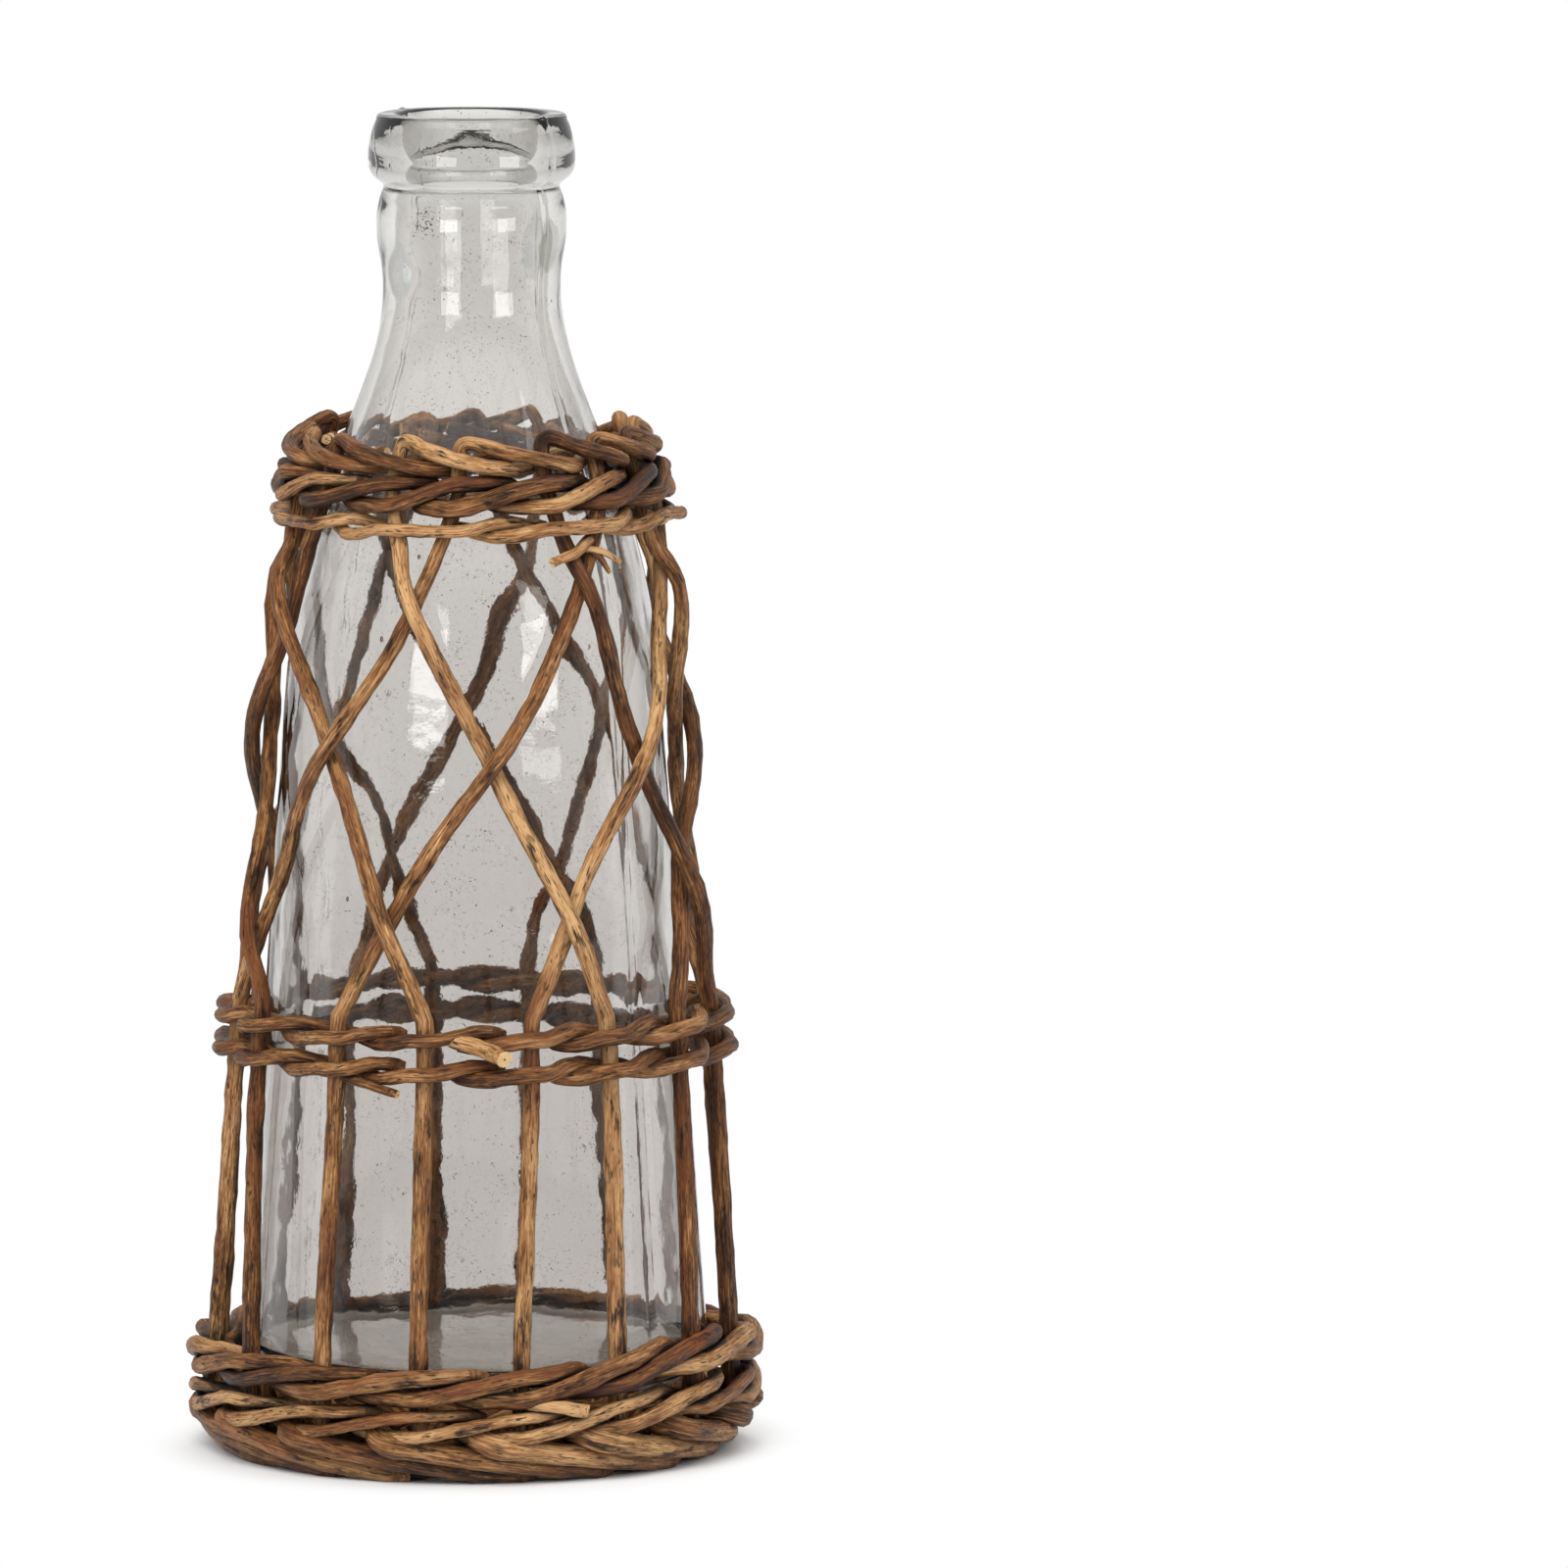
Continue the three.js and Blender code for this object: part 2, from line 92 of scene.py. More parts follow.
def mix(a: float, b: float, share: float) -> float:
    """Value a share of the way from a to b."""
    return a + (b - a) * share


def ease(share: float) -> float:
    """Smooth step from 0 to 1."""
    share = min(max(share, 0.0), 1.0)
    return share * share * (3.0 - 2.0 * share)


def taut(share: float, eased: float = 0.4) -> float:
    """Step from 0 to 1 that is nearly straight."""
    return mix(min(max(share, 0.0), 1.0), ease(share), eased)


def nowhere(point: Vector) -> float:
    """No share of a mark, at any point."""
    return 0.0


def around(degrees: float, radius: float, z: float) -> Vector:
    """Point at an angle, a radius and a height round the carafe's axis."""
    angle = math.radians(degrees)
    return Vector((radius * math.sin(angle), -radius * math.cos(angle), z))


def smooth(points: Sequence[Vector], parts: int) -> list[Vector]:
    """Draws a smooth line through points.

    Args:
        points: The points that the line passes through.
        parts: How many parts each stretch between two points is drawn in.

    Returns:
        The points of the finer line.
    """
    line: list[Vector] = []
    last = len(points) - 1
    for i in range(last):
        here, there = points[i], points[i + 1]
        third = (there - here).length / 3.0
        leaving = (there - points[max(i - 1, 0)]).normalized() * third
        coming = (points[min(i + 2, last)] - here).normalized() * third
        line += geometry.interpolate_bezier(here, here + leaving, there - coming, there, parts + 1)[:-1]
    line.append(points[last])
    return line


def row_height(node: str) -> float:
    """Middle height of a woven node of the frame, in millimetres."""
    low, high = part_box(node)
    return (low[2] + high[2]) / 2.0 / MM


def linear(hex_colour: str) -> tuple[float, float, float, float]:
    """Turns an sRGB hex colour into linear RGBA.

    Args:
        hex_colour: The colour as #RRGGBB.

    Returns:
        Red, green, blue and a full alpha.
    """
    channels = []
    for k in (1, 3, 5):
        value = int(hex_colour[k:k + 2], 16) / 255.0
        channels.append(value / 12.92 if value <= 0.04045 else ((value + 0.055) / 1.055) ** 2.4)
    return (channels[0], channels[1], channels[2], 1.0)


def add_node(
    tree: bpy.types.NodeTree,
    kind: str,
    settings: dict[str, Any] | None = None,
    inputs: dict[Any, Any] | None = None,
) -> bpy.types.Node:
    """Adds a shader node with its settings and links.

    Args:
        tree: The node tree that takes the node.
        kind: The node's type, without the ShaderNode in front.
        settings: Properties of the node.
        inputs: Values or output sockets for the node's inputs, by name or number.

    Returns:
        The new node.
    """
    node = tree.nodes.new("ShaderNode" + kind)
    for key, value in (settings or {}).items():
        setattr(node, key, value)
    for key, value in (inputs or {}).items():
        if isinstance(value, bpy.types.NodeSocket):
            tree.links.new(value, node.inputs[key])
        else:
            node.inputs[key].default_value = value
    return node


def ramp_stops(node: bpy.types.Node, stops: Sequence[tuple[float, str]]) -> Socket:
    """Sets the stops of a colour ramp.

    Args:
        node: The ramp.
        stops: Pairs of place and hex colour, in order.

    Returns:
        The ramp's colour socket.
    """
    elements = node.color_ramp.elements
    while len(elements) < len(stops):
        elements.new(0.5)
    for element, (place, colour) in zip(elements, stops):
        element.position = place
        element.color = linear(colour)
    return node.outputs["Color"]


def blank_material(name: str) -> bpy.types.Material:
    """Makes a material without any node.

    Args:
        name: The material's name.

    Returns:
        The material.
    """
    material = bpy.data.materials.new(name)
    material.use_nodes = True
    material.node_tree.nodes.clear()
    return material


def select_only(*pieces: bpy.types.Object) -> None:
    """Selects these objects alone, and makes the first of them the active one.

    Args:
        pieces: The objects.
    """
    bpy.ops.object.select_all(action="DESELECT")
    for piece in pieces:
        piece.select_set(True)
    bpy.context.view_layer.objects.active = pieces[0]


def join(name: str, *pieces: bpy.types.Object) -> bpy.types.Object:
    """Joins pieces into the first of them.

    Args:
        name: The joined piece's name.
        pieces: The pieces.

    Returns:
        The first piece, which now holds them all.
    """
    select_only(*pieces)
    bpy.ops.object.join()
    pieces[0].name = name
    return pieces[0]


def merge_doubles(obj: bpy.types.Object) -> None:
    """Closes a mesh where its vertices coincide, and points its faces outwards.

    Args:
        obj: The mesh object.
    """
    select_only(obj)
    bpy.ops.object.mode_set(mode="EDIT")
    bpy.ops.mesh.select_all(action="SELECT")
    bpy.ops.mesh.remove_doubles(threshold=MERGE_M)
    bpy.ops.mesh.normals_make_consistent(inside=False)
    bpy.ops.object.mode_set(mode="OBJECT")


def polyline_mesh(
    name: str, points: Sequence[Vector], thickness: Sequence[float] | None = None, sides: int = 4
) -> bpy.types.Object:
    """Draws a line as a curve and turns it into a mesh, round in section where a thickness is given.

    Args:
        name: The object's name.
        points: Points of the line, in millimetres.
        thickness: Diameter at each point, or None for a bare line of edges.
        sides: Faces round the section, an even number.

    Returns:
        The mesh object, at the origin.
    """
    bpy.ops.object.select_all(action="DESELECT")
    bpy.ops.curve.primitive_nurbs_path_add(location=(0.0, 0.0, 0.0))
    obj = bpy.context.object
    obj.name = name
    curve = obj.data
    curve.splines.clear()
    curve.dimensions = "3D"
    spline = curve.splines.new("POLY")
    spline.points.add(len(points) - 1)
    for k, point in enumerate(points):
        spline.points[k].co = (*(point * MM), 1.0)
        if thickness is not None:
            spline.points[k].radius = thickness[k]
    if thickness is not None:
        curve.bevel_depth = MM / 2.0
        curve.bevel_resolution = (sides - 4) // 2
        curve.use_fill_caps = True
    bpy.ops.object.convert(target="MESH")
    return bpy.context.object


def displace(obj: bpy.types.Object, grain: float, depth: float) -> None:
    """Pushes a surface in and out by a cloudy pattern.

    Args:
        obj: The mesh object.
        grain: Size of the pattern's lumps, in millimetres.
        depth: Height of the lumps from lowest to highest, in millimetres.
    """
    pattern = bpy.data.textures.new(obj.name + "_lumps", "CLOUDS")
    pattern.noise_scale = grain * MM
    pattern.noise_depth = 1
    lumps = obj.modifiers.new("lumps", "DISPLACE")
    lumps.texture = pattern
    lumps.texture_coords = "LOCAL"
    lumps.strength = depth * MM
    lumps.mid_level = 0.5
    select_only(obj)
    bpy.ops.object.modifier_apply(modifier="lumps")


@dataclass(frozen=True)
class WillowBark:
    """Brown willow, boiled and dried in its bark, then waxed.

    The thin bark gives a satin brown that runs in streaks along the rod, paler where it is rubbed, with
    near-black scuffs and pores, painted shade that ambient occlusion lays into the crevices of the weave, and
    orange wood where it has peeled.
    """

    name: str
    deep: str = "#25140A"
    brown: str = "#674123"
    tan: str = "#976B40"
    pale: str = "#CAA06F"
    russet: str = "#6C3A1C"
    scuff: str = "#150C06"
    # Near-black colour of the painted shade that ambient occlusion lays into the crevices.
    painted_shade_colour: str = "#0C0805"
    peeled: str = "#7F4621"
    streak_mm: float = 0.5
    streak_run_mm: float = 11.0
    streak_share: float = 0.8
    blotch_mm: float = 5.0
    blotch_run_mm: float = 24.0
    blotch_share: float = 0.75
    pore_mm: float = 0.5
    pore_run_mm: float = 3.6
    pore_share: float = 0.5
    pore_clumping: float = 0.45
    pore_band: Band = (0.84, 0.92, 0.9)
    pore_sink: float = 0.35
    scuff_mm: float = 2.5
    scuff_run_mm: float = 10.0
    scuff_band: Band = (0.55, 0.68, 0.88)
    scuff_rise: float = 0.7
    russet_mm: float = 14.0
    russet_run_mm: float = 90.0
    russet_band: Band = (0.48, 0.68, 0.6)
    peel_ragged: float = 1.6
    peel_band: Band = (0.5, 0.66, 1.0)
    # Reach, ends, share and samples of the ambient occlusion that paints shade into the crevices.
    painted_shade_mm: float = 7.0
    painted_shade_ends: Ends = (0.82, 0.38)
    painted_shade_share: float = 0.97
    painted_shade_samples: int = 8
    tone_band: Band = (0.75, 1.31, 1.0)
    tone_places: tuple[float, float, float, float] = (0.05, 0.36, 0.6, 0.92)
    noise_roughness: float = 0.62
    gloss_ends: Ends = (0.32, 0.66)
    smoothest: float = 0.36
    roughest: float = 0.66
    relief_mm: float = 0.45
    ior: float = 1.48
    specular: float = 0.33

    def material(self) -> bpy.types.Material:
        """Builds the bark's material, which reads each rod's own grain and look attributes.

        Returns:
            The material.
        """
        material = blank_material(self.name)
        tree = material.node_tree
        grain = add_node(tree, "Attribute", {"attribute_name": "grain"}).outputs["Vector"]
        look = add_node(tree, "Attribute", {"attribute_name": "look"}).outputs["Vector"]
        tone, peel, grime = add_node(tree, "SeparateXYZ", None, {"Vector": look}).outputs

        def along(run_mm: float, across_mm: float, detail: float) -> Socket:
            """Noise that is drawn out along the rod.

            Args:
                run_mm: Length of its lumps.
                across_mm: Width of its lumps.
                detail: How finely it is broken up.

            Returns:
                The noise's socket.
            """
            lump = (run_mm, across_mm, across_mm)
            place = add_node(tree, "VectorMath", {"operation": "DIVIDE"}, {0: grain, 1: lump}).outputs[0]
            settings = {"Vector": place, "Scale": 1.0, "Detail": detail, "Roughness": self.noise_roughness}
            return add_node(tree, "TexNoise", None, settings).outputs["Fac"]

        def over(share: Socket, below: Socket, colour: str) -> Socket:
            """Lays a share of a colour over what is below it."""
            return add_node(tree, "Mix", RGBA, {0: share, 6: below, 7: linear(colour)}).outputs[2]

        def mask(value: Socket, low: float, high: float, most: float) -> Socket:
            """Share that grows from 0 to most as a value goes from low to high."""
            ends = {"Value": value, "From Min": low, "From Max": high, "To Max": most}
            return add_node(tree, "MapRange", None, ends).outputs[0]

        streak = along(self.streak_run_mm, self.streak_mm, detail=4.0)
        blotch = along(self.blotch_run_mm, self.blotch_mm, detail=4.0)
        pore = along(self.pore_run_mm, self.pore_mm, detail=1.0)
        scuff = along(self.scuff_run_mm, self.scuff_mm, detail=5.0)
        russet = along(self.russet_run_mm, self.russet_mm, detail=2.0)

        toned = tone
        shares = ((pore, self.pore_share), (streak, self.streak_share), (blotch, self.blotch_share))
        for pattern, share in shares:
            toned = add_node(tree, "Math", MULTIPLY_ADD, {0: pattern, 1: share, 2: toned}).outputs[0]
        bark = ramp_stops(
            add_node(tree, "ValToRGB", None, {"Fac": mask(toned, *self.tone_band)}),
            list(zip(self.tone_places, (self.deep, self.brown, self.tan, self.pale))),
        )
        warm = over(mask(russet, *self.russet_band), bark, self.russet)
        ragged = add_node(
            tree, "Math", MULTIPLY_ADD, {0: streak, 1: self.peel_ragged, 2: -0.5 * self.peel_ragged}
        )
        bare = add_node(tree, "Math", {"operation": "ADD"}, {0: peel, 1: ragged.outputs[0]})
        wood = over(mask(bare.outputs[0], *self.peel_band), warm, self.peeled)
        dark = add_node(tree, "Math", {"operation": "ADD"}, {0: scuff, 1: grime})
        scuffed = over(mask(dark.outputs[0], *self.scuff_band), wood, self.scuff)
        clumped = add_node(tree, "Math", MULTIPLY_ADD, {0: scuff, 1: self.pore_clumping, 2: pore})
        pitted = mask(clumped.outputs[0], *self.pore_band)
        marked = over(pitted, scuffed, self.scuff)
        # Painted shade: ambient occlusion darkens the bark where other rods, the floor and the glass crowd
        # it.
        hollow = add_node(
            tree, "AmbientOcclusion", {"samples": self.painted_shade_samples}, {"Distance": self.painted_shade_mm * MM}
        )
        crevices = mask(hollow.outputs["AO"], *self.painted_shade_ends, self.painted_shade_share)

        gloss = add_node(
            tree, "MapRange", None,
            {"Value": blotch, "From Min": self.gloss_ends[0], "From Max": self.gloss_ends[1],
             "To Min": self.smoothest, "To Max": self.roughest},
        )
        sunk = add_node(tree, "Math", MULTIPLY_ADD, {0: pitted, 1: -self.pore_sink, 2: streak})
        rough = add_node(tree, "Math", MULTIPLY_ADD, {0: scuff, 1: self.scuff_rise, 2: sunk.outputs[0]})
        relief = add_node(
            tree, "Bump", None,
            {"Height": rough.outputs[0], "Distance": self.relief_mm * MM, "Strength": 1.0},
        )
        surface = add_node(
            tree, "BsdfPrincipled", None,
            {"Base Color": over(crevices, marked, self.painted_shade_colour), "Roughness": gloss.outputs[0],
             "IOR": self.ior, "Specular IOR Level": self.specular, "Normal": relief.outputs[0]},
        )
        add_node(tree, "OutputMaterial", None, {"Surface": surface.outputs[0]})
        return material


@dataclass(frozen=True)
class CutWillow:
    """Cut willow end: pale dry wood with a small dark pith, a little dirty."""

    name: str = "cut_willow"
    pale: str = "#E3C391"
    dirty: str = "#BE955F"
    pith: str = "#6E4C2C"
    pith_mm: float = 0.5
    pith_core: float = 0.4
    fibre_mm: float = 0.35
    wood_places: Ends = (0.3, 0.65)
    roughness: float = 0.8
    relief_mm: float = 0.2
    relief_share: float = 0.7

    def material(self) -> bpy.types.Material:
        """Builds the material, which reads the rod's grain attribute: length, then the section's two axes.

        Returns:
            The material.
        """
        material = blank_material(self.name)
        tree = material.node_tree
        grain = add_node(tree, "Attribute", {"attribute_name": "grain"}).outputs["Vector"]
        fine = add_node(tree, "VectorMath", {"operation": "SCALE"}, {0: grain, "Scale": 1.0 / self.fibre_mm})
        noise = add_node(tree, "TexNoise", None, {"Vector": fine.outputs[0], "Scale": 1.0, "Detail": 3.0})
        fibre = noise.outputs["Fac"]
        section = add_node(tree, "VectorMath", {"operation": "MULTIPLY"}, {0: grain, 1: (0.0, 1.0, 1.0)})
        middle = add_node(tree, "VectorMath", {"operation": "LENGTH"}, {0: section.outputs[0]})
        wood = ramp_stops(
            add_node(tree, "ValToRGB", None, {"Fac": fibre}),
            list(zip(self.wood_places, (self.dirty, self.pale))),
        )
        core = add_node(
            tree, "MapRange", None,
            {"Value": middle.outputs["Value"],
             "From Min": self.pith_mm, "From Max": self.pith_core * self.pith_mm},
        )
        colour = add_node(tree, "Mix", RGBA, {0: core.outputs[0], 6: wood, 7: linear(self.pith)})
        relief = add_node(
            tree, "Bump", None,
            {"Height": fibre, "Distance": self.relief_mm * MM, "Strength": self.relief_share},
        )
        surface = add_node(
            tree, "BsdfPrincipled", None,
            {"Base Color": colour.outputs[2], "Roughness": self.roughness, "Normal": relief.outputs[0]},
        )
        add_node(tree, "OutputMaterial", None, {"Surface": surface.outputs[0]})
        return material


@dataclass(frozen=True)
class BottleGlass:
    """Moulded soda-lime bottle glass, from recycled melt.

    It is clear with a warm grey cast, and its uneven skin bends what is seen through it. Old use has left
    dark specks, stains, dirt along the mould seam and a dry smear under the lip.
    """

    name: str = "moulded_soda_lime_glass"
    cast: str = "#EBE9E6"
    low_cast: str = "#E0DDDA"
    neck_cast: str = "#E6E4E1"
    lip_cast: str = "#E6E5E2"
    # The edge colour darkens the glass at grazing angles and across the lip: partly the longer path through
    # tinted glass, partly painted shade.
    edge_shade_cast: str = "#A8A5A0"
    cast_places: tuple[float, float, float, float] = (60.0, 295.0, 320.0, 345.0)
    edge_shade_band: Band = (0.45, 0.75, 1.0)
    lip_edge_shade_band: Band = (0.13, 0.3, 0.85)
    lip_edge_shade_z: Ends = (341.0, 345.0)
    transmission: float = 1.0
    haze_ends: Ends = (0.45, 0.8)
    roughness: float = 0.0
    dirt: str = "#2E2821"
    shade: str = "#FCFBF9"
    ior: float = 1.52
    ripple_mm: float = 9.0
    ripple_depth_mm: float = 0.11
    skin_mm: float = 1.0
    skin_share: float = 0.06
    cloud_mm: float = 9.0
    speck_mm: float = 0.55
    speck_clumping: float = 0.25
    speck_band: Band = (0.85, 0.89, 1.0)
    seam_deg: float = 52.0
    seam_mm: float = 0.45
    seam_core: float = 0.4
    seam_share: float = 0.85
    seam_breaks: Band = (0.42, 0.6, 1.0)
    seam_to_z: float = 339.0
    seam_fade_mm: float = 1.0
    smear_at: tuple[float, float, float] = (-29.0, 25.2, 332.4)
    smear_mm: float = 6.0
    smear_core: float = 0.2
    smear_share: float = 0.22
    stains: tuple[tuple[float, float, float, float, str], ...] = (
        (-53.0, 24.6, 318.5, 5.0, "#CBD1D0"),
        (44.0, 25.0, 324.5, 5.6, "#CDD0CD"),
        (58.0, 25.3, 325.5, 4.9, "#8D8E7F"),
    )
    stain_height: float = 1.7
    stain_ends: Ends = (1.5, 1.42)
    stain_share: float = 0.85

    def material(self) -> bpy.types.Material:
        """Builds the glass material on Object coordinates.

        Returns:
            The material.
        """
        material = blank_material(self.name)
        tree = material.node_tree
        place = add_node(tree, "TexCoord").outputs["Object"]
        height = add_node(tree, "SeparateXYZ", None, {"Vector": place}).outputs["Z"]
        facing = add_node(tree, "LayerWeight").outputs["Facing"]

        def lumps(size_mm: float, detail: float) -> Socket:
            """Noise with lumps of a size in the glass."""
            settings = {"Vector": place, "Scale": 1.0 / (size_mm * MM), "Detail": detail}
            return add_node(tree, "TexNoise", None, settings).outputs["Fac"]

        def between(value: Socket, low: float, high: float, most: float = 1.0) -> Socket:
            """Share that grows from 0 to most as a value goes from low to high."""
            ends = {"Value": value, "From Min": low, "From Max": high, "To Max": most}
            return add_node(tree, "MapRange", None, ends).outputs[0]

        def over(share: Socket, below: Socket, colour: str) -> Socket:
            """Lays a share of a colour over what is below it."""
            return add_node(tree, "Mix", RGBA, {0: share, 6: below, 7: linear(colour)}).outputs[2]

        clouds = lumps(self.cloud_mm, detail=2.0)
        ripple, skin = lumps(self.ripple_mm, detail=1.0), lumps(self.skin_mm, detail=2.0)
        uneven = add_node(tree, "Math", MULTIPLY_ADD, {0: skin, 1: self.skin_share, 2: ripple})
        relief = add_node(
            tree, "Bump", None,
            {"Height": uneven.outputs[0], "Distance": self.ripple_depth_mm * MM, "Strength": 1.0},
        )

        smear = add_node(
            tree, "VectorMath", {"operation": "DISTANCE"}, {0: place, 1: around(*self.smear_at) * MM}
        )
        near = self.smear_mm * MM
        near_smear = between(smear.outputs["Value"], near, self.smear_core * near, self.smear_share)
        thick = add_node(tree, "Math", MULTIPLY_ADD, {0: clouds, 1: self.speck_clumping, 2: near_smear})
        fine = lumps(self.speck_mm, detail=1.0)
        specks = add_node(tree, "Math", {"operation": "ADD"}, {0: fine, 1: thick.outputs[0]})
        seam = math.radians(self.seam_deg)
        across = add_node(
            tree, "VectorMath", {"operation": "DOT_PRODUCT"},
            {0: place, 1: (math.cos(seam), math.sin(seam), 0.0)},
        )
        off_seam = add_node(tree, "Math", {"operation": "ABSOLUTE"}, {0: across.outputs["Value"]})
        near = self.seam_mm * MM
        soiled = between(off_seam.outputs[0], near, self.seam_core * near, self.seam_share)
        below_lip = between(height, self.seam_to_z * MM, (self.seam_to_z - self.seam_fade_mm) * MM)
        for patches in (below_lip, between(clouds, *self.seam_breaks)):
            soiled = add_node(tree, "Math", {"operation": "MULTIPLY"}, {0: soiled, 1: patches}).outputs[0]
        speckled = between(specks.outputs[0], *self.speck_band)
        dirty = add_node(tree, "Math", {"operation": "MAXIMUM"}, {0: speckled, 1: soiled})

        top_z = self.cast_places[-1]
        casts = (self.low_cast, self.cast, self.neck_cast, self.lip_cast)
        melt = ramp_stops(
            add_node(tree, "ValToRGB", None, {"Fac": between(height, 0.0, top_z * MM)}),
            [(z / top_z, tint) for z, tint in zip(self.cast_places, casts)],
        )
        for degrees, radius, z, reach, tint in self.stains:
            middle = around(degrees, radius, z / self.stain_height) * MM
            away = add_node(
                tree, "VectorMath", MULTIPLY_ADD,
                {0: place, 1: (1.0, 1.0, 1.0 / self.stain_height), 2: -middle},
            )
            distance = add_node(tree, "VectorMath", {"operation": "LENGTH"}, {0: away.outputs[0]})
            ragged = add_node(
                tree, "Math", MULTIPLY_ADD, {0: clouds, 1: reach * MM, 2: distance.outputs["Value"]}
            )
            outer, inner = (end * reach * MM for end in self.stain_ends)
            melt = over(between(ragged.outputs[0], outer, inner, self.stain_share), melt, tint)
        # Partly painted shade: the glass darkens towards its grazing edges and over most of the lip, where
        # darker surroundings would show; the rest is the longer path through tinted glass.
        edge = add_node(
            tree, "Mix", None,
            {0: between(height, self.lip_edge_shade_z[0] * MM, self.lip_edge_shade_z[1] * MM),
             2: between(facing, *self.edge_shade_band), 3: between(facing, *self.lip_edge_shade_band)},
        )
        deep = over(edge.outputs[0], melt, self.edge_shade_cast)

        # Pale floor glass lets less through at grazing angles, so its painted light shows from the side and
        # clears from above.
        through: Socket | float = self.transmission
        if self.transmission < 1.0:
            through = add_node(
                tree, "MapRange", None,
                {"Value": facing, "From Min": self.haze_ends[0], "From Max": self.haze_ends[1],
                 "To Min": 1.0, "To Max": self.transmission},
            ).outputs[0]
        surface = add_node(
            tree, "BsdfPrincipled", None,
            {"Base Color": over(dirty.outputs[0], deep, self.dirt), "Roughness": self.roughness,
             "IOR": self.ior, "Transmission Weight": through, "Normal": relief.outputs[0]},
        )
        clear = add_node(tree, "BsdfTransparent", None, {"Color": linear(self.shade)})
        rays = add_node(tree, "LightPath")
        whole = add_node(
            tree, "MixShader", None,
            {0: rays.outputs["Is Shadow Ray"], 1: surface.outputs[0], 2: clear.outputs[0]},
        )
        add_node(tree, "OutputMaterial", None, {"Surface": whole.outputs[0]})
        return material


